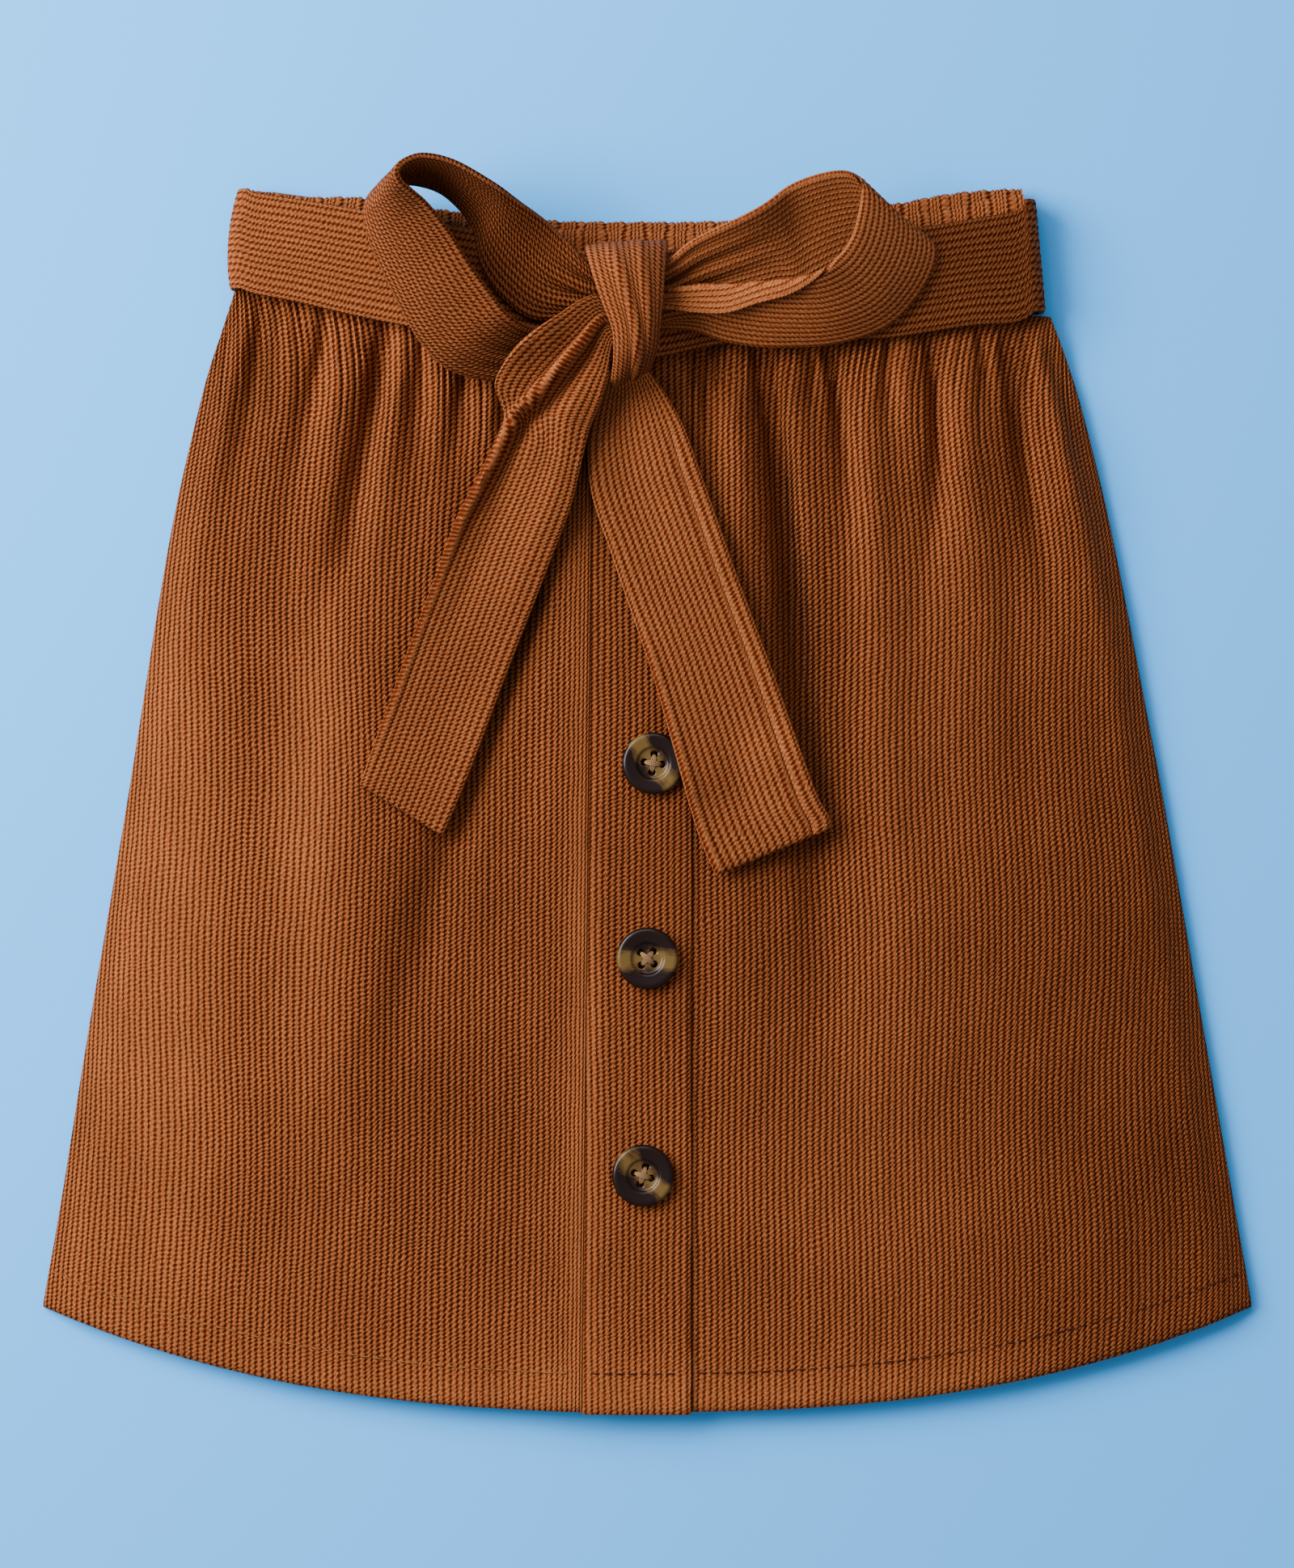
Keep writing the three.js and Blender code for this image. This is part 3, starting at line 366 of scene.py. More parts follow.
@dataclass(frozen=True)
class SkirtForm:
    """The outline of the skirt and the standing shape of its front."""

    gather_pitch: float = 5.6
    gather_depth: float = 0.5
    gather_reach: float = 11.0
    loft: float = 1.0
    crown_high: float = 4.2
    crown_at: float = 0.54  # share of the width from the left
    full_high: float = 2.0  # how far the gathers spring up below the belt
    pinch: float = 0.45  # share of a fold's height that the seam leaves it
    least: float = 0.6
    ease: float = 0.7  # how softly the belt and bow hold the front down
    bow_at: float = -2.0
    side_roll: float = 9.0
    placket_hem: float = -16.2
    placket_top: float = -13.2
    placket_fold: float = 10.7
    underlap: float = -8.5
    climb: float = 20.0  # how far from the placket the left front starts to climb
    left: Curve = field(default_factory=partial(column, SIDES, 1))
    right: Curve = field(default_factory=partial(column, SIDES, 2))
    seam: Curve = field(default_factory=partial(column, WAIST, 1))
    front_top: Curve = field(default_factory=partial(column, WAIST, 2))
    back_top: Curve = field(default_factory=partial(column, WAIST, 3))

    @property
    def lift(self) -> float:
        """How far the placket and the left front lie over the right front's edge."""
        return LAYERS.cloth + LAYERS.gap / 2

    def hem(self, x: Array) -> Array:
        """Height of the hem across the skirt."""
        return HEM_LOW + HEM_RISE * (np.abs(x) / HEM_HALF) ** HEM_CURVE

    def placket_seam(self, y: Array) -> Array:
        """Where the placket is sewn to the left front."""
        share = (np.asarray(y, float) - HEM_LOW) / (float(self.seam(0)) - HEM_LOW)
        return mix(self.placket_hem, self.placket_top, share)

    def left_end(self, y: Array) -> Array:
        """Where the left front ends, just short of its seam to the placket."""
        return self.placket_seam(y) - LAYERS.gap / 3

    def back_under(self, x: Array, y: Array) -> Array:
        """Underside of the back: on the floor, then stepping up onto the belt."""
        return LAYERS.back_casing * smooth(y - self.seam(x), -15, -3)

    def folds(self, x: Array, y: Array) -> Array:
        """Adds up the folds.

        Args:
            x: Places across.
            y: Places up.

        Returns:
            Height of all the folds together, each widening and fading from its top down.
        """
        total = np.zeros(np.broadcast(x, y).shape)
        for x0, y0, x1, y1, x2, y2, wide, high in FOLDS:
            down, mid = (y0 - y) / (y0 - y2), (y0 - y1) / (y0 - y2)
            t = np.clip(down, 0, 1)
            bend = (x1 - mix(x0, x2, mid)) / (mid * (1 - mid))
            crest = mix(x0, x2, t) + bend * t * (1 - t)
            total += high * smooth(1 - t, 0, 0.9) * bell(x - crest, wide * (0.62 + 1.3 * t)) * (down < 1)
        return total

    def rise(self, x: Array, y: Array) -> Array:
        """Shapes the front over the back: full below the gathers, crowned from side to side, held by the belt.

        Args:
            x: Places across.
            y: Places up.

        Returns:
            How far the front stands off the back.
        """
        below = self.seam(x) - y
        left, right = self.left(y), self.right(y)
        crown = 1 - np.abs(((x - left) / (right - left) - self.crown_at) / self.crown_at) ** 2.3
        loft = self.loft + self.crown_high * crown * smooth(below, 2, 40) * (1 - smooth(below, 80, 250) / 4)
        loft += self.full_high * smooth(below, 0, 14) * (1 - smooth(below, 20, 110))
        gathers = np.sin(TURN * x / self.gather_pitch) * np.exp(-np.maximum(below, 0) / self.gather_reach)
        folds = self.folds(x, y) * mix(self.pinch, 1.0, smooth(below, 2, 13))
        height = loft + folds + self.gather_depth * gathers
        ebb = self.least * np.exp(np.minimum(height / self.least, 1) - 1)
        soft = np.where(height > self.least, height, ebb)
        under_belt = 2.2 + 2.4 * smooth(below, 3, 10) + 6.4 * smooth(below, 10, 24)
        under_bow = 0.2 + 4.2 * smooth(below, 7, 24) + 4.0 * smooth(below, 24, 60)
        room = mix(under_belt, under_bow, 1 - smooth(np.abs(x - self.bow_at), 13, 30))
        held = room - self.ease * np.log1p(np.exp(np.clip((room - soft) / self.ease, -30, 30)))
        return np.maximum(held, 0.1) * smooth(np.minimum(x - left, right - x), -1, self.side_roll)

    def front_under(self, x: Array, y: Array) -> Array:
        """Underside of the front panels."""
        return self.back_under(x, y) + LAYERS.cloth + LAYERS.gap + self.rise(x, y)

    def left_under(self, x: Array, y: Array) -> Array:
        """Underside of the left front, which climbs over the right front's edge at the placket."""
        to_seam = self.placket_seam(y) - LAYERS.gap - x
        return self.front_under(x, y) + self.lift * (1 - smooth(to_seam, 0, self.climb))

    def placket_under(self, x: Array, y: Array) -> Array:
        """Underside of the placket."""
        return self.front_under(x, y) + self.lift


FORM = SkirtForm()


# ---- Meshes and nodes --------------------------------------------------------------------------------------


def stand(name: str, data: bpy.types.ID) -> Piece:
    """Makes an object and links it to the scene.

    Args:
        name: Its name.
        data: Its mesh, lamp or camera.

    Returns:
        The object.
    """
    made = bpy.data.objects.new(name, data)
    bpy.context.scene.collection.objects.link(made)
    return made


def places_of(mesh: bpy.types.Mesh) -> Array:
    """Reads a mesh's points.

    Args:
        mesh: The mesh, in the frame.

    Returns:
        Its points, carried back to the plan.
    """
    flat = np.empty(len(mesh.vertices) * 3)
    mesh.vertices.foreach_get("co", flat)
    return flat.reshape(-1, 3) / MM - TO_FRAME


def settle(mesh: bpy.types.Mesh, centre: Array, turn: float) -> None:
    """Sets down a mesh that was made about the plan's origin.

    Args:
        mesh: The mesh.
        centre: Where the origin comes to lie.
        turn: How far it is turned about the upright, in radians.
    """
    c, s = math.cos(turn), math.sin(turn)
    turned = places_of(mesh) @ np.array([[c, s, 0], [-s, c, 0], [0, 0, 1]]) + centre
    mesh.vertices.foreach_set("co", ((turned + TO_FRAME) * MM).ravel())
    mesh.update()


@dataclass
class Cloth:
    """The points, faces and grain of one piece, gathered before it is made a mesh.

    The grain map holds, at each point, the wale number across the cloth and the distance along it in mm. The
    nap says how far the brushed pile leans to the right there, as a slope.
    """

    points: list[Array] = field(default_factory=list)
    grain: list[Array] = field(default_factory=list)
    faces: list[Sequence[int]] = field(default_factory=list)
    count: int = 0
    sharp: float = math.radians(72)

    def add(self, points: Array, wale: Array, along: Array) -> Array:
        """Adds a grid of points.

        Args:
            points: Places in the plan.
            wale: Wale number of each.
            along: Distance along the grain of each.

        Returns:
            The points' numbers, in the shape of the grid.
        """
        shape = points.shape[:-1]
        size = int(np.prod(shape))
        self.points.append(points.reshape(-1, 3))
        self.grain.append(np.stack([np.broadcast_to(v, shape).ravel() for v in (wale, along)], 1))
        self.count += size
        return np.arange(self.count - size, self.count).reshape(shape)

    def quads(self, index: Array, flip: bool = False) -> None:
        """Adds the faces of a grid, upward where its columns run right and its rows away.

        Args:
            index: The grid's point numbers.
            flip: Whether the faces look down instead.
        """
        corners = [index[:-1, :-1], index[:-1, 1:], index[1:, 1:], index[1:, :-1]]
        quads = np.stack([c.ravel() for c in corners], 1)[:, :: -1 if flip else 1]
        whole = (quads != np.roll(quads, 1, axis=1)).all(axis=1)
        self.faces.extend(quads[whole].tolist())
        for face in quads[~whole].tolist():
            self.face(face)

    def face(self, corners: Sequence[int], flip: bool = False) -> None:
        """Adds one face, leaving out corners that fall together, or nothing if it has no area.

        Args:
            corners: Its point numbers, anticlockwise seen from its front.
            flip: Whether it looks the other way.
        """
        kept = [int(c) for k, c in enumerate(corners) if c != corners[k - 1]]
        if len(set(kept)) > 2:
            self.faces.append(kept[::-1] if flip else kept)

    def join(self, fine: Array, coarse: Array, at: Sequence[int], flip: bool) -> None:
        """Joins a fine edge to a coarse one.

        Args:
            fine: Point numbers of the fine edge.
            coarse: Point numbers of the coarse one.
            at: Which of the fine edge's points each coarse one stands at.
            flip: Whether the faces look the other way.
        """
        for k in range(len(coarse) - 1):
            self.face([coarse[k + 1], coarse[k], *fine[at[k] : at[k + 1] + 1].tolist()], flip)

    def shell(self, fine: Array, coarse: Array, row: Array, col: Array, down: bool = False) -> None:
        """Closes a fine face and a coarse one into a thin shell.

        Args:
            fine: The fine grid's point numbers.
            coarse: The coarse grid's point numbers.
            row: Rows of the fine grid that the coarse one has.
            col: Columns of the fine grid that the coarse one has.
            down: Whether the fine face looks down.
        """
        self.quads(fine, down)
        self.quads(coarse, not down)
        for end, flip in ((0, not down), (-1, down)):
            self.join(fine[end], coarse[end], col, flip)
            self.join(fine[:, end], coarse[:, end], row, not flip)

    def ribbon(self, over: Array, below: Array) -> None:
        """Closes two like grids into a ribbon.

        Args:
            over: Point numbers of the grid that faces up.
            below: Point numbers of the one that faces down.
        """
        self.quads(over)
        self.quads(below, True)
        for end, flip in ((0, True), (-1, False)):
            self.quads(np.stack([over[:, end], below[:, end]], 1), flip)
            self.quads(np.stack([over[end], below[end]]), flip)

    def tube(self, rings: Array, wale: Array, along: Array) -> None:
        """Adds a closed tube.

        Args:
            rings: Points of each ring, anticlockwise seen from the tube's far end.
            wale: Grain number of each point round the tube.
            along: Distance of each along it.
        """
        index = self.add(rings, wale, along)
        self.quads(np.concatenate([index, index[:, :1]], axis=1))
        self.faces += [index[0, ::-1].tolist(), index[-1].tolist()]

    def build(self, name: str, material: bpy.types.Material, nap: Field | float = 0.0) -> Piece:
        """Makes the mesh object, smooth shaded, in the frame.

        Args:
            name: Its name.
            material: Its material.
            nap: The lean of its pile: a field over the plan, or one slope.

        Returns:
            The object.
        """
        plan = np.concatenate(self.points)
        cuts = np.cumsum([len(face) for face in self.faces])[:-1]
        used, corner = np.unique(np.concatenate(self.faces), return_inverse=True)
        plan = plan[used]
        mesh = bpy.data.meshes.new(name)
        faces = [face.tolist() for face in np.split(corner, cuts)]
        mesh.from_pydata(((plan + TO_FRAME) * MM).tolist(), [], faces)
        grain = np.concatenate(self.grain)[used][corner]
        mesh.uv_layers.new(name="grain").data.foreach_set("uv", grain.ravel())
        lean = nap(plan[:, 0], plan[:, 1]) if callable(nap) else np.full(len(plan), float(nap))
        mesh.attributes.new("nap", "FLOAT", "POINT").data.foreach_set("value", lean)
        mesh.shade_smooth()
        mesh.set_sharp_from_angle(angle=self.sharp)
        mesh.materials.append(material)
        return stand(name, mesh)


def dress(piece: Piece, slot: Slot, *nodes: str) -> Piece:
    """Sets a piece on the body and reports it.

    Args:
        piece: The piece.
        slot: Its material slot; not used.
        nodes: The solids that it stands in for.

    Returns:
        The piece.
    """
    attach(piece, BODY)
    if nodes:
        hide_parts(*nodes)
    log.info("%s: %d faces", piece.name, len(piece.data.polygons))
    return piece


def linear(code: str) -> tuple[float, float, float, float]:
    """Turns an sRGB hex colour to linear RGBA."""
    parts = [int(code[i : i + 2], 16) / 255 for i in (1, 3, 5)]
    return (*(p / 12.92 if p <= 0.04045 else ((p + 0.055) / 1.055) ** 2.4 for p in parts), 1.0)


def node(tree: bpy.types.NodeTree, kind: str, *values: object, **named: object) -> bpy.types.Node:
    """Adds one node with its settings and links.

    Args:
        tree: The node tree.
        kind: Its type name without the ShaderNode prefix, with its operation after a colon if it has one.
        values: What its first sockets take, in order: a value, another node's output, or another node.
        named: Its own settings by name, then what other sockets take, by name with _ for a space.

    Returns:
        The new node.
    """
    kind, _, operation = kind.partition(":")
    made = tree.nodes.new("ShaderNode" + kind)
    if operation:
        made.operation = operation
    for key, value in [*enumerate(values), *named.items()]:
        name = key.replace("_", " ") if isinstance(key, str) else key
        value = value.outputs[0] if isinstance(value, bpy.types.Node) else value
        if isinstance(name, str) and name not in made.inputs:
            setattr(made, key, value)
        elif isinstance(value, bpy.types.NodeSocket):
            tree.links.new(value, made.inputs[name])
        else:
            made.inputs[name].default_value = value
    return made


def grade(ramp: bpy.types.Node, *stops: tuple[float, str]) -> bpy.types.Node:
    """Gives a colour ramp its stops.

    Args:
        ramp: The ramp, as new.
        stops: Place and sRGB hex colour of each, in rising order.

    Returns:
        The ramp.
    """
    made = ramp.color_ramp.elements
    for end, (place, colour) in zip(made, (stops[0], stops[-1])):
        end.position, end.color = place, linear(colour)
    for place, colour in stops[1:-1]:
        made.new(place).color = linear(colour)
    return ramp


# ---- Finishes ----------------------------------------------------------------------------------------------


@dataclass(frozen=True)
class Finish:
    """A finish: one material, made from its own shader."""

    name: str

    def shader(self, tree: bpy.types.NodeTree) -> bpy.types.Node:
        """Wires the finish and returns the node that its surface comes from."""
        raise NotImplementedError

    def build(self) -> bpy.types.Material:
        """Makes the material.

        Returns:
            The material.
        """
        material = bpy.data.materials.new(self.name)
        material.use_nodes = True
        tree = material.node_tree
        tree.nodes.clear()
        node(tree, "OutputMaterial", Surface=self.shader(tree))
        return material


@dataclass(frozen=True)
class Corduroy(Finish):
    """Cut-pile cotton corduroy: broad soft wales of upright tufts over a darker ground weave.

    The pile scatters light with no gloss and glows a little at its edges. The tufts stand in rows that slant
    across each wale and bulge over the grooves, so a groove shows as a chain of small dark slanting gaps. The
    grooves and gaps are coloured darker: partly the ground weave's own colour, partly painted shade for the
    shadow that falls in them. Where the pile is brushed toward the window the gaps close, and their painted
    shade with them. Real tufts are half as long; these are drawn as coarse as they need to show.
    """

    # the groove colour is partly the ground weave's own and partly painted shade in the grooves
    groove: str = "#3A1000"
    pile: str = "#6A3013"
    tip: str = "#925831"
    glow: str = "#D0702C"
    pitch: float = 1.65  # mm from wale to wale
    tuft_length: float = 1.14  # mm along the wale
    tuft_slant: float = 1.0  # tufts that a slanting row runs over across one wale
    tuft_wander: float = 1.8  # tufts that a row strays along its wale
    groove_high: float = 0.29  # mm from a groove's floor to the crests, added to the modelled wales
    tuft_high: float = 0.12
    fibre_high: float = 0.18
    groove_half: float = 0.16  # wales from a groove's middle to its side, between tufts that touch
    gap_half: float = 0.26  # how much more where they part
    groove_painted_shade: float = 0.76  # painted shade that a groove and a gap take from the tone, and what fibre adds, from groove at 0 to tip at 1
    gap_painted_shade: float = 0.25
    fibre_light: float = 1.15
    ground: float = 0.34

    def shader(self, tree: bpy.types.NodeTree) -> bpy.types.Node:
        """Wires the finish.

        Args:
            tree: The material's node tree.

        Returns:
            The node that its surface comes from.
        """
        add = partial(node, tree)
        wale, along, _ = add("SeparateXYZ", add("UVMap", uv_map="grain")).outputs
        flat = add("CombineXYZ", X=add("Math:MULTIPLY", wale, self.pitch), Y=along)
        wander, fibre, cloud = (
            add("TexNoise", noise_dimensions="2D", Vector=flat, Scale=scale, Detail=detail, Roughness=rough)
            for scale, detail, rough in ((0.13, 2.0, 0.5), (1.5, 3.0, 0.7), (0.035, 3.0, 0.5))
        )
        aside = add("Math:SUBTRACT", add("Math:FRACT", wale), 0.5)
        start = add("TexWhiteNoise", noise_dimensions="1D", W=add("Math:FLOOR", wale))
        start = add("Math:MULTIPLY_ADD", wander, self.tuft_wander, start)
        start = add("Math:MULTIPLY_ADD", aside, -self.tuft_slant, start)
        tufts = add("Math:ADD", add("Math:DIVIDE", along, self.tuft_length), start)
        wave = add("Math:SINE", add("Math:MULTIPLY", tufts, TURN))
        nap = add("Attribute", attribute_name="nap").outputs["Fac"]
        # Where the pile leans toward the window the gaps narrow, and the painted shade in them fades.
        parted = add("MapRange", Value=nap, From_Min=-0.1, From_Max=0.3, To_Min=0.6, To_Max=1.0)
        gap = add("Math:MULTIPLY", add("Math:MULTIPLY_ADD", wave, 0.5, 0.5), parted)
        half = add("Math:MULTIPLY_ADD", gap, self.gap_half, self.groove_half)
        away = add("Math:DIVIDE", add("Math:ABSOLUTE", aside), half, use_clamp=True)
        hollow = add("Math:SUBTRACT", 1.0, add("Math:POWER", away, 1.6))
        hollow = add("Math:MULTIPLY", hollow, add("Math:MULTIPLY_ADD", gap, 0.42, 0.58))
        high, light = (
            add("Math:MULTIPLY_ADD", fibre, of_fibre, add(
                "Math:MULTIPLY_ADD", hollow, -of_groove, add("Math:MULTIPLY_ADD", gap, -of_gap, base)))
            for of_groove, of_gap, of_fibre, base in (
                (self.groove_high, self.tuft_high, self.fibre_high, 0.0),
                (self.groove_painted_shade, self.gap_painted_shade, self.fibre_light, self.ground),
            )
        )
        bump = add("Bump", Strength=1.0, Distance=MM, Height=high)
        leant = add("VectorMath:ADD", bump, add("CombineXYZ", X=nap))
        # Tone runs from the groove colour, where the painted groove and gap shade fall, through the pile to the
        # tips.
        tone = grade(add("ValToRGB", light), (0.06, self.groove), (0.58, self.pile), (1.0, self.tip))
        faded = add("MapRange", Value=cloud, From_Min=0.3, From_Max=0.7, To_Min=0.9, To_Max=1.08)
        return add(
            "BsdfPrincipled", Base_Color=add("HueSaturation", Color=tone, Value=faded),
            Normal=add("VectorMath:NORMALIZE", leant), Roughness=0.9, IOR=1.46, Specular_IOR_Level=0.06,
            Sheen_Weight=0.05, Sheen_Roughness=0.45, Sheen_Tint=linear(self.glow),
        )


@dataclass(frozen=True)
class HornResin(Finish):
    """Cast polyester resin with a swirl like horn, polished: near black with a clear olive-tan band.

    The band lies deep under a clear gloss, so it has soft edges, and the rim catches one bright line.
    """

    turn: float
    offset: float
    width: float
    dark: str = "#130603"
    tan: str = "#442E12"
    pale: str = "#58421D"

    def shader(self, tree: bpy.types.NodeTree) -> bpy.types.Node:
        """Wires the finish, its band across the button's own plan.

        Args:
            tree: The material's node tree.

        Returns:
            The node that its surface comes from.
        """
        add = partial(node, tree)
        place = add("UVMap", uv_map="grain")
        swirl = add("TexNoise", noise_dimensions="2D", Vector=place, Scale=0.22, Detail=3.0)
        turned = add("VectorRotate", rotation_type="Z_AXIS", Vector=place, Angle=self.turn)
        across = add("Math:SUBTRACT", add("SeparateXYZ", turned).outputs[1], self.offset)
        across = add("Math:ADD", across, add("Math:MULTIPLY_ADD", swirl, 5.0, -2.5))
        away = add("Math:DIVIDE", add("Math:ABSOLUTE", across), self.width)
        drawn = add("Mapping", Vector=turned, Scale=(0.25, 2.2, 1.0))
        streak = add("TexNoise", noise_dimensions="2D", Vector=drawn, Scale=0.8, Detail=4.0)
        depth = add("Math:MULTIPLY_ADD", streak, 0.5, add("Math:SUBTRACT", away, 0.25))
        tone = grade(add("ValToRGB", depth), (0.25, self.pale), (0.6, self.tan), (1.0, self.dark))
        return add(
            "BsdfPrincipled", Base_Color=tone, Roughness=0.34, IOR=1.5, Specular_IOR_Level=0.16,
            Coat_Weight=0.16, Coat_Roughness=0.05,
        )


@dataclass(frozen=True)
class SewingThread(Finish):
    """Spun polyester thread: a dull two-ply twist with a faint shine, its colour painted darker between the
    plies as shade.
    """

    colour: str

    def shader(self, tree: bpy.types.NodeTree) -> bpy.types.Node:
        """Wires the finish.

        Args:
            tree: The material's node tree.

        Returns:
            The node that its surface comes from.
        """
        add = partial(node, tree)
        around, along, _ = add("SeparateXYZ", add("UVMap", uv_map="grain")).outputs
        ply = add("Math:MULTIPLY_ADD", along, 14.0, add("Math:MULTIPLY", around, 12.0))
        twist = add("Math:MULTIPLY_ADD", add("Math:SINE", ply), 0.5, 0.5)
        # Painted shade: the colour dims where the twist sinks between the plies.
        tone = add("MapRange", Value=twist, To_Min=0.75, To_Max=1.1)
        return add(
            "BsdfPrincipled", Base_Color=add("HueSaturation", Color=linear(self.colour), Value=tone),
            Normal=add("Bump", Strength=0.6, Distance=0.1 * MM, Height=twist), Roughness=0.7, IOR=1.5,
            Specular_IOR_Level=0.12,
        )


@dataclass(frozen=True)
class StudioPaper(Finish):
    """Pale blue matte background paper, rolled out flat, with hardly any tooth."""

    name: str = "pale_blue_paper"
    colour: str = "#4EB2FF"

    def shader(self, tree: bpy.types.NodeTree) -> bpy.types.Node:
        """Wires the finish.

        Args:
            tree: The material's node tree.

        Returns:
            The node that its surface comes from.
        """
        add = partial(node, tree)
        place = add("TexCoord").outputs["Object"]
        tooth = add("TexNoise", Vector=place, Scale=900.0, Detail=2.0)
        tone = add("MapRange", Value=tooth, To_Min=0.99, To_Max=1.01)
        colour = add("HueSaturation", Color=linear(self.colour), Value=tone)
        return add("BsdfPrincipled", Base_Color=colour, Roughness=0.95, IOR=1.4, Specular_IOR_Level=0.1)


# ---- Skirt panels ------------------------------------------------------------------------------------------


@dataclass(frozen=True)
class Pleats:
    """Sharp creases between wales that the gathering pinches into the front just below the belt."""

    share: float = 0.42
    seed: int = 11
    grooves: int = 400

    def depth(self, wale: Array, below: Array) -> Array:
        """Works out how much the gathers deepen the grooves.

        Args:
            wale: Wale number of each place.
            below: How far below the gathered seam each lies.

        Returns:
            How much deeper its groove is there.
        """
        rng, count = np.random.RandomState(self.seed), self.grooves
        pinched = rng.uniform(0, 1, count) < self.share
        deep = np.where(pinched, rng.uniform(0.5, 1.5, count), rng.uniform(0, 0.25, count))
        long = rng.uniform(10, 42, count)
        own = np.floor(wale).astype(int) % count
        return deep[own] * bell((wale % 1) - 0.5, 0.27) * np.clip(1 - below / long[own], 0, 1) ** 0.7


PLEATS = Pleats()

# Where the pile leans: middle, reach across and up, and lean to the right as a slope. A lean tilts the
# shading normal and, to the right, opens the gaps and the painted shade in them; many entries lie along fold
# valleys and on the right side, where this darkens the tone.
BRUSHED_AND_SHADED = (
    (-122, -40, 26, 130, -0.22), (134, -100, 40, 90, 0.55), (116, 30, 26, 80, 0.36), (42, 10, 9, 50, 0.36),
    (-44, 20, 26, 70, 0.45), (-60, -70, 16, 70, 0.26), (10, -10, 26, 90, 0.30), (-98, 60, 16, 60, 0.34),
    (-84, 0, 9, 50, -0.20), (90, -40, 30, 90, 0.10), (-98, -50, 14, 90, 0.22), (-36, -80, 22, 60, 0.20),
    (30, 60, 12, 60, 0.18), (70, 84, 34, 24, 0.16), (0, -152, 130, 9, -0.24), (-15.6, -60, 4.0, 110, -0.42),
    (46, 97, 2.6, 14, 0.55), (70, 98, 2.6, 18, 0.50), (91, 92, 3.4, 24, 0.60), (34, 70, 2.6, 30, 0.45),
    (36, 40, 5.0, 30, 0.50), (42, 4, 7.0, 40, 0.30), (-67, 96, 3.0, 16, 0.60), (-74, 62, 4.0, 24, 0.50),
    (-94, 104, 3.0, 14, 0.40), (-46, 94, 2.6, 16, 0.45), (36, -10, 60, 200, 0.14), (-100, 96, 26, 30, 0.30),
    (-57, 84, 4.0, 16, 0.40), (-42, 62, 4.0, 14, 0.35), (-70, 78, 3.0, 12, 0.30), (-112, -112, 60, 46, 0.11),
    (20, -130, 60, 20, 0.07),
)


def brushed(x: Array, y: Array) -> Array:
    """Lean of the skirt's pile at a place, as a slope to the right."""
    return sum(lean * bell(x - at, wide) * bell(y - up, tall) for at, up, wide, tall, lean in BRUSHED_AND_SHADED)


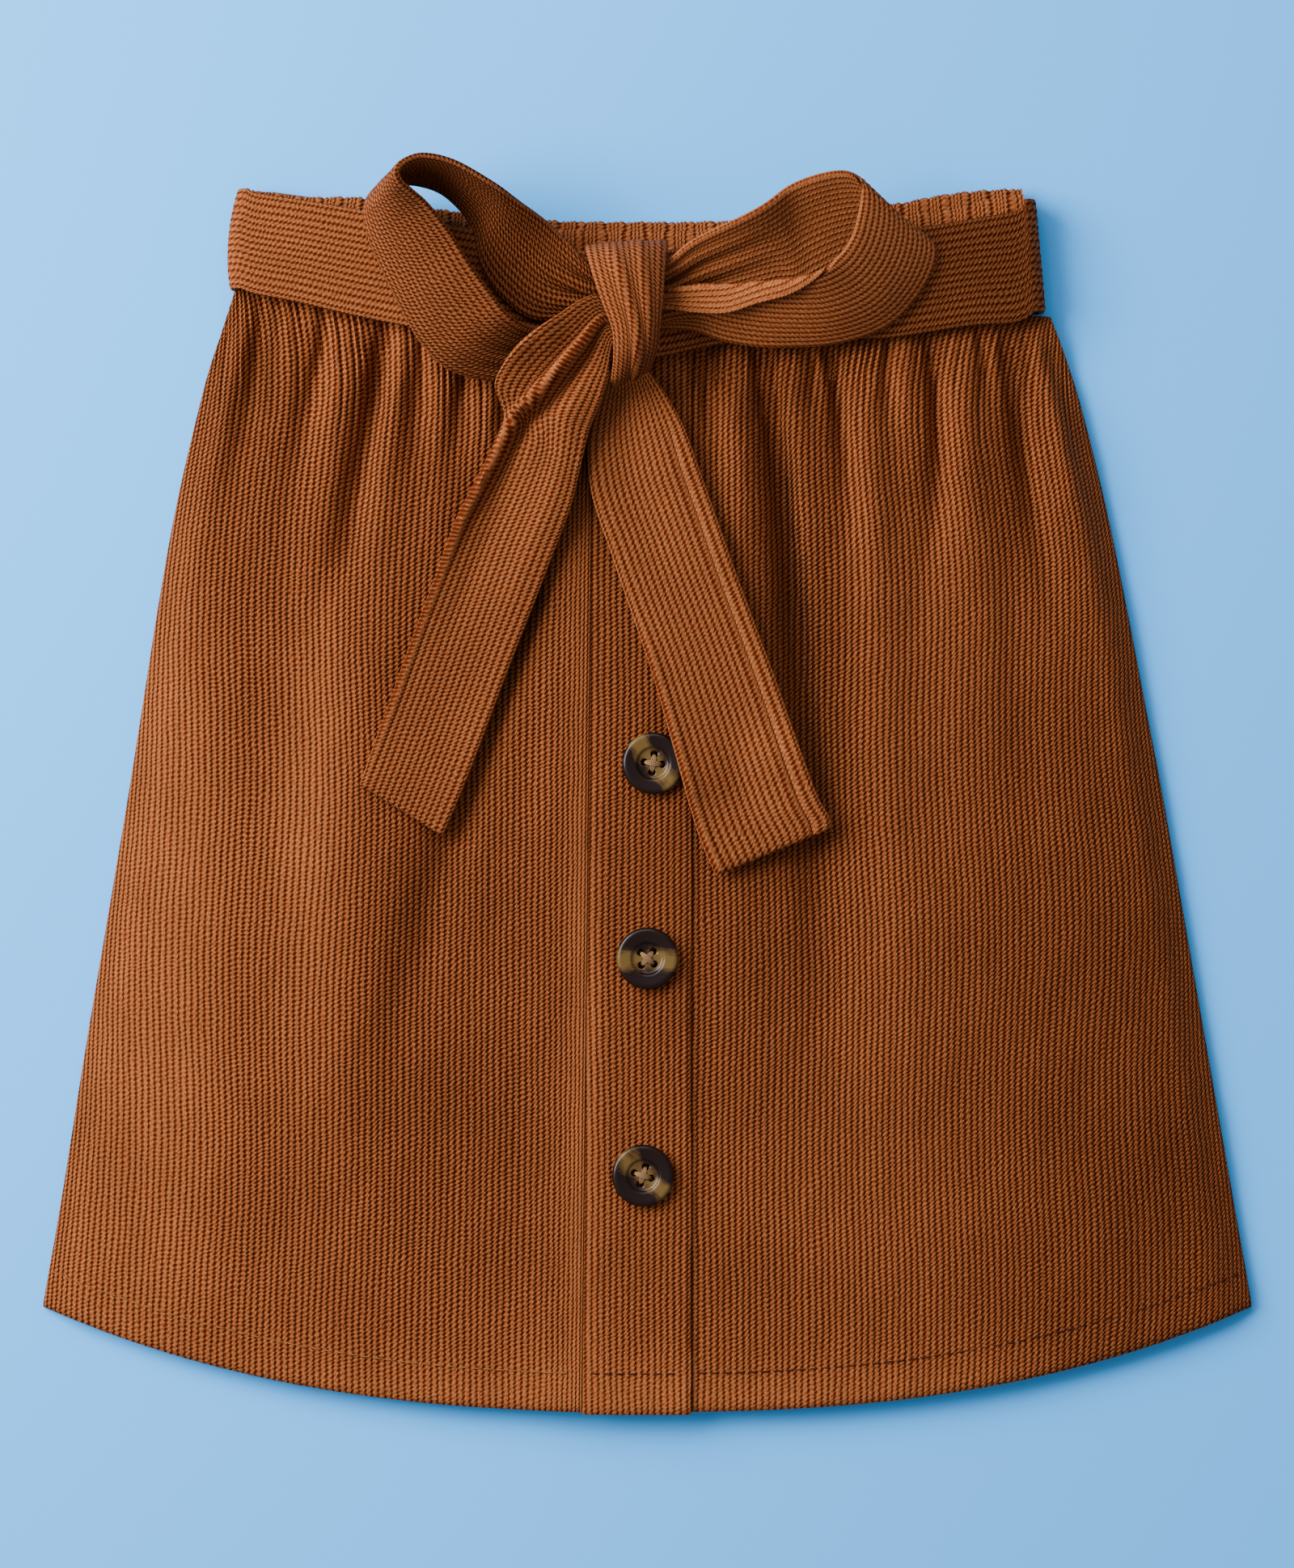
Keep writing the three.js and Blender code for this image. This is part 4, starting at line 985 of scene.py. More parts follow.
@dataclass(frozen=True)
class Panel:
    """One flat-cut panel from hem to gathered seam, its wales crowding where the cloth dips and rolls away.

    The wales keep their pitch on the cloth, counted from the edge at the placket, so the slanting side seam
    cuts them off one by one.
    """

    name: str
    left: Edge
    right: Edge
    under: Field
    thick: float = LAYERS.cloth
    from_right: bool = False
    pitch: float = 1.58
    faces: int = 92000
    wale_deep: float = 0.22
    crowd_folds: float = 0.5  # how much the wales crowd on a fold's slope
    crowd_side: float = 0.9  # and where the sides roll away
    crowd_reach: float = 4.0
    crowd_drift: float = 0.05  # how unevenly they are spaced besides
    evened: int = 20  # their lean is evened over one part in so many of the height
    round_left: float = 0.8  # how far the face rolls off at a side
    round_right: float = 0.8
    hem_up: float = 0.6  # how far its hem lies above the skirt's
    hem_drop: float = 0.5  # how far the folded hem dips
    hem_scallop: float = 0.35  # how far a wale reaches past a groove there
    stray: float = 0.10  # how far a wale wanders sideways
    stray_pace: tuple[float, float] = (0.12, 0.42)  # least and most turns it takes, in radians a mm
    swell: float = 0.25  # unevenness of the laid cloth, broad and small
    dimple: float = 0.12
    samples: int = 900  # places that a row is measured at
    squeeze: float = 1.2  # how much closer the rows lie toward the gathers
    least: float = 0.3  # thickness that is left below the deepest crease

    def outline(self, s: Array, v: Array) -> tuple[Array, Array]:
        """Places a point of the panel.

        Args:
            s: Share of the way across.
            v: Share of the way up.

        Returns:
            Its place across and up.
        """
        hem = FORM.hem(mix(self.left(-130.0), self.right(-130.0), s)) + self.hem_up
        seam = FORM.seam(mix(self.left(115.0), self.right(115.0), s))
        y = mix(hem, seam, v)
        return mix(self.left(y), self.right(y), s), y

    def wale_runs(self, v: Array) -> tuple[Array, Array]:
        """Measures how much cloth lies between the placket's side and each place across, in each row.

        Args:
            v: Height of each row, from 0 to 1.

        Returns:
            Places across, and the run of cloth at each row and place.
        """
        s = np.linspace(0, 1, self.samples)
        x, y = self.outline(s[None], v[:, None])
        step = np.gradient(x, axis=1)
        slope = np.gradient(self.under(x, y), axis=1) / step
        crowd = np.sqrt(1 + (self.crowd_folds * slope) ** 2) + self.crowd_drift * ripple(x, y, 46, 90, 3)
        for beyond in (self.left(y) - x, x - self.right(y)):
            crowd += self.crowd_side * np.exp(beyond / self.crowd_reach)
        run = np.cumsum(crowd * step, axis=1)
        run -= run[:, :1]
        if len(v) > 1:
            run = blur(run, len(v) / self.evened, axis=0)
        return s, run[:, -1:] - run if self.from_right else run

    def columns(self, v: Array) -> tuple[Array, Array, Array]:
        """Places the mesh's columns on the wales.

        Args:
            v: Height of each row, from 0 to 1.

        Returns:
            Wale number of each column, place across of each row and column, and which of them are cut off.
        """
        s, run = self.wale_runs(v)
        wale, step = wale_steps(int(run.max() / self.pitch) + 1), -1 if self.from_right else 1
        at = wale * self.pitch
        places = np.stack([np.interp(at, r[::step], s[::step]) for r in run])
        cut = at[None] >= run.max(axis=1, keepdims=True)
        return step * wale[::step], places[:, ::step], cut[:, ::step]

    def trim(self, index: Array, cut: Array) -> Array:
        """Draws the columns that the side cuts off together onto the first of them.

        Args:
            index: Point numbers.
            cut: Which of them are cut off.

        Returns:
            The point numbers to use.
        """
        count, columns = cut.sum(axis=1, keepdims=True), index.shape[1]
        first = np.maximum(count - 1, 0) if self.from_right else np.minimum(columns - count, columns - 1)
        return np.where(cut, np.take_along_axis(index, first, 1), index)

    def meander(self, wale: Array, y: Array) -> Array:
        """Lets each wale wander.

        Args:
            wale: Wale number of each column.
            y: Height of each point.

        Returns:
            How far each point strays sideways from a straight run.
        """
        rng = np.random.RandomState(7)
        own = np.arange(int(wale.min()) - 1, int(wale.max()) + 2)
        pace, start = rng.uniform(*self.stray_pace, len(own)), rng.uniform(0, TURN, len(own))
        along = pace[None] * y[:, :1]
        stray = np.sin(along + start[None]) + 0.6 * np.sin(2.3 * along - start[None])
        return self.stray * np.stack([np.interp(wale, own, row) for row in stray])

    def surface(self, x: Array, y: Array) -> Array:
        """Shapes the face.

        Args:
            x: Places across.
            y: Places up.

        Returns:
            Height of the wales' crests, uneven as laid cloth is, and rolled off at the panel's sides.
        """
        under = self.under(x, y)
        uneven = self.swell * (ripple(x, y, 30, 60, 5) - 1) + self.dimple * (ripple(x, y, 11, 16, 6) - 1)
        top = under + self.thick + uneven
        for inside, drop in ((x - self.left(y), self.round_left), (self.right(y) - x, self.round_right)):
            out = 1 - np.clip(inside / (0.5 + drop), 0, 1)
            top = top - drop * (1 - np.sqrt(1 - out * out))
        return np.maximum(top, under + self.least + 0.05)

    def build(self, material: bpy.types.Material) -> Piece:
        """Makes the panel, a thin closed shell with modelled wales on its face.

        Args:
            material: Its material.

        Returns:
            The panel.
        """
        cloth = Cloth()
        widest = self.wale_runs(np.zeros(1))[1].max()
        rows = int(self.faces / len(wale_steps(int(widest / self.pitch) + 1)))
        v = 1 - (1 - np.linspace(0, 1, rows + 1)) ** self.squeeze
        wale, s, cut = self.columns(v)
        x, y = self.outline(s, v[:, None])
        pile = ridge(wale)[None]
        stray = self.meander(wale, y) * smooth(np.minimum(x - x[:, :1], x[:, -1:] - x), 0, 3)
        crease = PLEATS.depth(wale[None], FORM.seam(x) - y)
        face = self.surface(x, y) - self.wale_deep * (1 - pile) - crease
        z = np.maximum(face, self.under(x, y) + self.least)
        along = np.concatenate([[0], np.cumsum(np.mean(np.diff(y, axis=0), axis=1))])[:, None]
        y = y - self.hem_scallop * (pile - 0.5) * (v == 0)[:, None]
        z[0] -= self.hem_drop
        points = np.stack([x + stray, y, z], -1)
        top = cloth.add(points, wale[None], along)
        row = np.unique(np.linspace(0, rows, COARSE_ROWS).round().astype(int))
        col = np.arange(0, s.shape[1], len(PER_WALE))
        part = np.ix_(row, col)
        low = points[part].copy()
        low[..., 2] = np.minimum(self.under(low[..., 0], low[..., 1]), low[..., 2] - self.least)
        bottom = cloth.add(low, wale[col][None], along[row])
        cloth.shell(self.trim(top, cut), self.trim(bottom, cut[part]), row, col)
        return cloth.build(self.name, material, brushed)


@dataclass
class Skirt:
    """The four cut panels."""

    material: bpy.types.Material
    back_wales: int = 180
    back_rows: int = 100
    back_deep: float = 0.25

    def build(self) -> list[Piece]:
        """Makes the panels, each hiding the solid that it stands in for.

        Returns:
            The panels.
        """
        panels = (
            Panel(
                "skirt_front_left", FORM.left, FORM.left_end, FORM.left_under,
                from_right=True, round_right=0.15,
            ),
            Panel("skirt_front_right", upright(FORM.underlap), FORM.right, FORM.front_under),
            Panel(
                "placket", FORM.placket_seam, upright(FORM.placket_fold), FORM.placket_under, LAYERS.placket,
                from_right=True, faces=20000, crowd_side=0, round_left=0.15, round_right=0.5, hem_up=0.0,
            ),
        )
        made = [dress(panel.build(self.material), Slot.CORDUROY, panel.name) for panel in panels]
        made.append(dress(self.back(), Slot.CORDUROY, "skirt_back"))
        return made

    def back(self) -> Piece:
        """Makes the back, its face down on the floor and its wrong side toward the front.

        Returns:
            The back.
        """
        cloth = Cloth()
        wale = wale_steps(self.back_wales)
        shape = Panel("back", FORM.left, FORM.right, FORM.back_under, hem_up=0.3)
        v = np.linspace(0, 1, self.back_rows + 1)[:, None]
        x, y = shape.outline(wale[None] / self.back_wales, v)
        y = y - self.back_deep * (ridge(wale)[None] - 0.5) * (v == 0)
        low = np.stack([x, y, FORM.back_under(x, y) + self.back_deep * (1 - ridge(wale))[None]], -1)
        bottom = cloth.add(low, wale[None], y - HEM_LOW)
        row = np.unique(np.linspace(0, self.back_rows, COARSE_ROWS).round().astype(int))
        col = np.arange(0, len(wale), len(PER_WALE))
        high = low[np.ix_(row, col)].copy()
        high[..., 2] = FORM.back_under(high[..., 0], high[..., 1]) + LAYERS.cloth
        top = cloth.add(high, wale[col][None], high[..., 1] - HEM_LOW)
        cloth.shell(bottom, top, row, col, down=True)
        return cloth.build("skirt_back", self.material)


# ---- Waistband, belt and bow -------------------------------------------------------------------------------


def pressed(w: Array, thick: float, edge: float = 0.35) -> Array:
    """Half thickness across a turned and pressed ribbon: full nearly to its edges, then rounded."""
    return thick / 2 * (edge + (1 - edge) * np.sqrt(np.clip(1 - np.abs(2 * w - 1) ** 14, 0, 1)))


def band(name: str, material: bpy.types.Material, middle: Array, half: Array, wales: int, deep: float,
         nap: float) -> Piece:
    """Makes a closed ribbon of doubled cloth with wales along both faces and dresses it as its solid.

    Args:
        name: Name of the piece and of the solid it stands for.
        material: Its material.
        middle: Grid of points midway through it: rows along it, columns across.
        half: Half its thickness at each column, or at each point.
        wales: Wales across it.
        deep: Depth of the grooves.
        nap: Lean of its pile.

    Returns:
        The piece.
    """
    cloth = Cloth()
    wale, face = wale_steps(wales)[None], normals(middle)
    push = (half - deep * (1 - ridge(wale)) * np.clip(2 * half / half.max() - 1, 0, 1))[..., None]
    along = down_middle(middle)[:, None]
    over = cloth.add(middle + face * push, wale, along)
    cloth.ribbon(over, cloth.add(middle - face * push, wale + 0.5, along))
    return dress(cloth.build(name, material, nap), Slot.BELT, name)


@dataclass
class Ground:
    """What lies below a piece, to lay it on."""

    pieces: Sequence[Piece]
    above: float = 80.0  # higher than anything here
    tree: BVHTree = field(init=False)

    def __post_init__(self) -> None:
        """Gathers the pieces' faces."""
        points, faces, start = [], [], 0
        for piece in self.pieces:
            points.append(places_of(piece.data))
            faces.extend([start + i for i in face.vertices] for face in piece.data.polygons)
            start += len(points[-1])
        self.tree = BVHTree.FromPolygons(np.concatenate(points).tolist(), faces)

    def near(self, x: float, y: float, reach: float) -> float:
        """Feels for the highest surface about a point.

        Args:
            x: Its place across.
            y: Its place up the plan.
            reach: How far round it to feel.

        Returns:
            The surface's height, or 0 over the floor.
        """
        ring = [(reach * math.cos(k * TURN / 8), reach * math.sin(k * TURN / 8)) for k in range(8)]
        starts = [Vector((x + a, y + b, self.above)) for a, b in [(0, 0), *ring]]
        hits = [self.tree.ray_cast(start, Vector((0, 0, -1)))[0] for start in starts]
        return max(hit.z if hit else 0.0 for hit in hits)


@dataclass
class Waistband:
    """The gathered casing over the elastic, in a front and a back half."""

    material: bpy.types.Material
    left: Edge = bowed_end(-100.7)
    right: Edge = straight_end(95.0)
    rucks: int = 36  # ruckles along the top edge
    ruck_high: float = 0.8
    bunched: float = 0.8  # wales that a ruckle draws aside
    wales: int = 150
    wale_deep: float = 0.35
    wale_notch: float = 0.45  # how far a groove nicks the top edge
    rolls_at: float = 0.88  # share of the height where the top edge starts to roll over
    rows: tuple[float, ...] = (0, 0.25, 0.45, 0.6, 0.7, 0.78, 0.85, 0.9, 0.94, 0.97, 0.99, 1.0)

    def half(self, name: str, top: Curve, floor: float, seed: int) -> Piece:
        """Makes one half: wales bunched upright over the elastic and ruckled along the top edge.

        Args:
            name: Name of the piece and of the solid it stands for.
            top: Height of its top edge across the waist.
            floor: Height of its underside.
            seed: What its unevenness is drawn from.

        Returns:
            The piece.
        """
        cloth, up = Cloth(), np.array(self.rows)[:, None]
        s = np.linspace(0, 1, self.wales * len(PER_WALE) + 1)[None]
        guess = mix(self.left(130.0), self.right(130.0), s)
        bunch = 0.30 * ripple(guess, 0 * guess, 7, 9, seed)
        bunch = bunch + 0.5 * np.sin(TURN * (s * self.rucks + 0.12 * np.sin(9 * s)))
        wale = s * self.wales + self.bunched * bunch
        ruck, groove = self.ruck_high * (0.5 - 0.5 * bunch), 1 - ridge(wale)
        low, high = FORM.seam(guess) + LAYERS.seam_gap, top(guess) - 0.5 * ruck - 0.2 - self.wale_notch * groove
        y = mix(low, high, up)
        x = mix(self.left(y), self.right(y), s)
        roll = np.clip((up - self.rolls_at) / (1 - self.rolls_at), 0, 1)
        body = (LAYERS.casing - ruck - self.wale_deep * groove) * mix(0.15, 1, np.sqrt(1 - roll ** 2.2))
        middle = floor + LAYERS.casing / 2 - ruck / 2
        faces = (np.stack([x, y, middle + side * body / 2], -1) for side in (1, -1))
        cloth.ribbon(*(cloth.add(face, wale, y - low) for face in faces))
        piece = dress(cloth.build(name, self.material), Slot.CORDUROY, name)
        return piece

    def build(self) -> list[Piece]:
        """Makes both halves.

        Returns:
            The halves.
        """
        return [
            self.half("waistband_front", FORM.front_top, LAYERS.front_casing, 21),
            self.half("waistband_back", FORM.back_top, LAYERS.back_casing, 22),
        ]


# The front of the belt: place across, its lower edge, its upper edge.
BELT_RUNS = (
    (-104, 121.3, 145.9), (-88, 118.4, 143.6), (-70, 114.2, 140.6), (-40, 108.6, 135.2), (-12, 103.5, 130.1),
    (2, 103.9, 130.1), (11, 106.8, 132.1), (40, 108.8, 134.7), (60, 109.2, 135.4), (78, 112.0, 138.2),
    (91, 113.0, 140.6), (99, 115.6, 143.4),
)


@dataclass
class Belt:
    """The self belt round the waist: two front stretches that turn the sides, and the back stretch."""

    material: bpy.types.Material
    meets: float = -5.0  # where the front stretches meet, under the knot
    turn_radius: float = 1.9
    lap: float = 5.0  # how far they lap beneath
    back_dip: float = 7.2  # how far the back stretch sags
    wales: int = 16
    wale_deep: float = 0.14
    spacing: float = 1.3
    stations: int = 10  # rows of the coarse grid from the knot to the side
    feel: float = 5.0  # how far round each point the belt feels for what is below
    naps: tuple[float, float] = (0.11, 0.72)
    ends: tuple[Edge, Edge] = (bowed_end(-103.4), straight_end(98.0))
    flat_to: tuple[float, float] = (-96.0, 91.0)  # where it starts to turn the sides

    def turn(self, end: float, side: int) -> list[tuple[float, float]]:
        """Draws where the belt turns the side and laps beneath.

        Args:
            end: How far across the belt's end lies.
            side: -1 at the left, 1 at the right.

        Returns:
            Its middle line, as (across, height).
        """
        r, half = self.turn_radius, LAYERS.belt / 2
        inner = end - side * (half + r)
        angles = [k / 3 * math.pi / 2 for k in range(4)]
        crest = LAYERS.belt_under + half - r
        over = [(inner + side * r * math.sin(a), crest + r * math.cos(a)) for a in angles]
        under = [(inner + side * r * math.cos(a), half + r - r * math.sin(a)) for a in angles]
        return [*over, *under, (inner - side * self.lap, half)]

    def front(self, side: int, ground: Ground) -> Array:
        """Lays a front stretch over the waist and round the side.

        Args:
            side: -1 for the left one, 1 for the right one.
            ground: What lies below it.

        Returns:
            Its points midway through its thickness, from the knot out.
        """
        low, high = column(BELT_RUNS, 1), column(BELT_RUNS, 2)
        w, rows = np.linspace(0, 1, 5), []
        for x in np.linspace(self.meets + side * LAYERS.gap / 2, self.flat_to[side > 0], self.stations):
            y = mix(low(x), high(x), w)
            rest = max(ground.near(x, float(place), self.feel) for place in y)
            z = max(rest + 2 * LAYERS.gap, LAYERS.belt_under) + LAYERS.belt / 2
            rows.append(np.stack([x + 0 * w, y, z + 0 * w], 1))
        y = mix(*BELT_RUNS[0 if side < 0 else -1][1:], w)
        turns = np.array([self.turn(float(self.ends[side > 0](place)), side) for place in y])
        return np.array([*rows, *(np.stack([line[:, 0], y, line[:, 1]], 1) for line in turns.swapaxes(0, 1))])

    def ribbon(self, name: str, rows: Array, nap: float) -> Piece:
        """Makes a stretch of belt.

        Args:
            name: Name of the piece and of the solid it stands for.
            rows: Coarse grid of points midway through it.
            nap: Lean of its pile.

        Returns:
            The piece.
        """
        rows, wale = respace(rows, self.spacing), wale_steps(self.wales)
        middle = resample(rows, wale * (rows.shape[1] - 1) / self.wales, axis=1)
        half = pressed(wale[None] / self.wales, LAYERS.belt)
        return band(name, self.material, middle, half, self.wales, self.wale_deep, nap)

    def back(self) -> Array:
        """Draws the stretch behind the waist, which sags between its ends.

        Returns:
            Its points midway through its thickness.
        """
        inset = LAYERS.belt / 2 + self.turn_radius + self.lap + LAYERS.gap
        s, w = np.linspace(0, 1, 17)[:, None], np.linspace(0, 1, 3)[None]
        level = mix(mix(*BELT_RUNS[0][1:], w), mix(*BELT_RUNS[-1][1:], w), s)
        x = mix(self.ends[0](level) + inset, self.ends[1](level) - inset, s)
        return np.stack([x, level - self.back_dip * np.sin(math.pi * s), LAYERS.belt / 2 + 0 * x], -1)

    def build(self) -> list[Piece]:
        """Makes the three stretches, the front ones laid over the solids below them.

        Returns:
            The stretches.
        """
        below = (
            "skirt_back", "skirt_front_left", "skirt_front_right", "placket",
            "waistband_front", "waistband_back",
        )
        ground = Ground([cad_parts[name] for name in below])
        made = [
            self.ribbon("belt_left", self.front(-1, ground)[::-1], self.naps[0]),
            self.ribbon("belt_right", self.front(1, ground), self.naps[1]),
            self.ribbon("belt_back", self.back(), 0.0),
        ]
        for piece in made[:2]:
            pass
        return made


# Loops: upper rim (x, y), the way its lower edge lies (degrees from +X), lean from upright, share of the full
# width, width folded over, and how far the face bellies.
LOOP_LEFT = (
    (-5.4, 123.4, 262, 36, 0.46, 0, 0.0), (-12.6, 125.0, 252, 52, 0.54, 0, -0.3),
    (-19.8, 132.0, 248, 64, 0.86, 0, -1.2), (-25.2, 136.8, 241, 57, 0.96, 0, -1.8),
    (-31.4, 140.7, 237, 41, 1.0, 0, -1.8), (-37.4, 144.5, 240, 23, 1.0, 0, -1.4),
    (-46.5, 149.5, 244, 14, 1.0, 0, -1.0), (-53.7, 151.2, 234, 12, 1.0, 0, -0.4),
    (-58.2, 150.0, 218, 13, 1.0, 0, 0.0), (-60.2, 147.6, 206, 18, 1.0, 0, 0.3),
    (-59.2, 145.0, 204, 25, 1.0, 0, 0.6), (-56.7, 143.0, 208, 32, 1.0, 0, 1.0),
    (-53.1, 140.0, 214, 40, 1.0, 0, 1.4), (-47.9, 133.5, 217, 47, 1.0, 0, 1.8),
    (-43.3, 126.1, 217, 50, 1.0, 0, 1.8), (-38.6, 119.5, 216, 52, 1.0, 0, 1.4),
    (-33.6, 113.4, 216, 52, 0.96, 0, 0.8), (-27.3, 110.4, 226, 56, 0.76, 0, 0.2),
    (-18.6, 110.4, 248, 56, 0.52, 0, 0.0), (-5.4, 110.8, 264, 40, 0.34, 0, 0.0),
)
LOOP_RIGHT = (
    (-4.6, 123.6, -94, 38, 0.46, 0, 0.0), (4.2, 126.6, -84, 46, 0.56, 0, -0.3),
    (11.5, 132.0, -70, 50, 0.74, 0, -1.0), (23.6, 137.6, -63, 50, 0.9, 0, -1.6),
    (29.1, 140.8, -67, 54, 0.98, 0, -1.8), (34.6, 144.9, -72, 57, 1.0, 0, -1.6),
    (41.0, 147.3, -67, 53, 1.0, 0, -1.0), (46.9, 148.3, -59, 52, 1.0, 0, -0.4),
    (50.3, 147.4, -48, 54, 1.0, 0, 0.0), (51.9, 145.4, -38, 58, 1.0, 0, 0.2),
    (51.9, 142.2, -34, 61, 1.0, 0, 0.6), (51.1, 137.6, -35, 60, 1.0, 0, 1.2),
    (49.4, 132.2, -40, 55, 1.0, 0, 1.4), (45.9, 127.4, -49, 51, 1.0, 0, 1.2),
    (40.7, 123.4, -63, 44, 1.0, 1.4, 0.8), (34.3, 121.8, -82, 42, 1.0, 3.6, 0.4),
    (27.6, 121.4, -95, 45, 0.98, 5.2, 0.3), (20.4, 121.0, -97, 47, 0.94, 7.0, 0.2),
    (12.4, 121.2, -93, 45, 0.84, 7.0, 0.0), (4.2, 119.2, -91, 40, 0.62, 4.0, 0.0),
    (-4.6, 115.2, -90, 30, 0.4, 0, 0.0),
)
# The knot from its top edge to its bottom edge: height in the plan, left side, right side, skew, height of its
# middle.
KNOT = (
    (128.2, -14.4, 4.3, 0.8, 13.8), (130.3, -15.4, 4.9, 1.2, 18.0), (128.8, -14.9, 4.8, 1.4, 23.8),
    (123.6, -13.3, 4.2, 1.0, 28.2), (117.0, -10.9, 3.6, 0.6, 30.0), (110.2, -8.2, 2.8, 0.6, 30.2),
    (104.2, -7.8, 2.2, 1.6, 28.4), (99.4, -8.4, 1.0, 3.0, 24.0), (97.0, -9.2, 0.0, 4.2, 19.4),
)
# Tails: left edge, right edge, least height of the middle.
TAIL_RIGHT = (
    (-9.2, 101.0, -0.8, 102.4, 12.6), (-11.6, 95.0, 3.4, 97.0, 11.6), (-14.6, 84.0, 8.6, 88.0, 0),
    (-13.7, 70.7, 12.6, 77.4, 0), (-9.2, 57.0, 17.0, 65.0, 0), (-4.4, 43.0, 21.6, 52.0, 0),
    (0.6, 29.0, 26.8, 38.0, 0), (4.7, 15.0, 32.0, 24.0, 0), (8.8, 0.0, 37.2, 9.0, 0),
    (12.4, -12.0, 42.0, -3.8, 0), (15.0, -18.6, 44.6, -8.2, 0), (17.0, -22.8, 45.0, -11.4, 0),
)
TAIL_LEFT = (
    (-5.0, 115.4, -5.0, 106.6, 21.0), (-12.9, 118.8, -8.4, 106.4, 21.0), (-21.6, 113.8, -9.5, 99.4, 19.4),
    (-31.6, 106.0, -11.7, 92.0, 16.4), (-37.2, 97.4, -14.3, 85.6, 13.4), (-35.0, 89.0, -16.4, 76.6, 0),
    (-40.0, 77.0, -18.8, 67.0, 0), (-46.4, 64.6, -23.2, 55.4, 0), (-51.4, 51.6, -28.2, 42.6, 0),
    (-56.6, 38.0, -33.6, 29.0, 0), (-62.0, 23.0, -39.4, 13.6, 0), (-67.2, 9.0, -45.2, -1.4, 0),
    (-70.7, -0.6, -50.3, -13.2, 0),
)


def toward(angle: Array, tilt: Array) -> Array:
    """Unit vectors in a compass direction, tilted up from level; both in radians."""
    return np.stack([np.cos(angle) * np.cos(tilt), np.sin(angle) * np.cos(tilt), np.sin(tilt)], -1)


@dataclass(frozen=True)
class Crease:
    """A soft fold along a tail.

    Its place across (0 to 1) may change along the tail; it stands up by its height, or sinks in if that is
    negative, and comes and goes at the shares given of the tail's length.
    """

    place: float | Callable[[Array], Array]
    wide: float
    high: float
    start: float
    stop: float

    def lift(self, across: Array, t: Array) -> Array:
        """Works out how far it lifts the tail above its bed.

        Args:
            across: Places across, from 0 to 1.
            t: Shares of the tail's length.

        Returns:
            The lift at each place.
        """
        place = self.place(t) if callable(self.place) else self.place
        fold = self.high * bell(across - place, self.wide) + max(-self.high, 0)
        return fold * smooth(t, self.start, self.start + 0.12) * (1 - smooth(t, self.stop - 0.2, self.stop))


# Where the left tail's rim is folded up, across the tail by share of its length.
RIM = Curve((0, 0.1, 0.17, 0.232, 0.296, 0.38, 1.0), (0.475, 0.475, 0.459, 0.382, 0.12, 0.05, 0.05))
CREASES_RIGHT = (
    Crease(0.84, 0.03, -0.6, 0.1, 1.3), Crease(lambda t: 0.36 + 0.1 * t, 0.22, -1.2, 0.02, 0.5),
    Crease(1.05, 0.3, 1.4, 0.3, 1.3), Crease(0.05, 0.05, 0.7, 0.45, 1.4),
    Crease(0.45, 0.18, -1.4, 0.72, 1.02), Crease(0.5, 0.7, 1.4, 0.86, 1.4),
)
CREASES_LEFT = (
    Crease(RIM, 0.05, 2.6, 0.0, 0.62), Crease(RIM, 0.04, 0.8, 0.3, 1.0),
    Crease(lambda t: RIM(t) + 0.16, 0.10, -2.4, 0.02, 0.5), Crease(0.32, 0.16, -1.2, 0.3, 0.75),
    Crease(0.78, 0.14, 1.2, 0.1, 0.7), Crease(1.05, 0.25, 1.2, 0.3, 1.1),
)


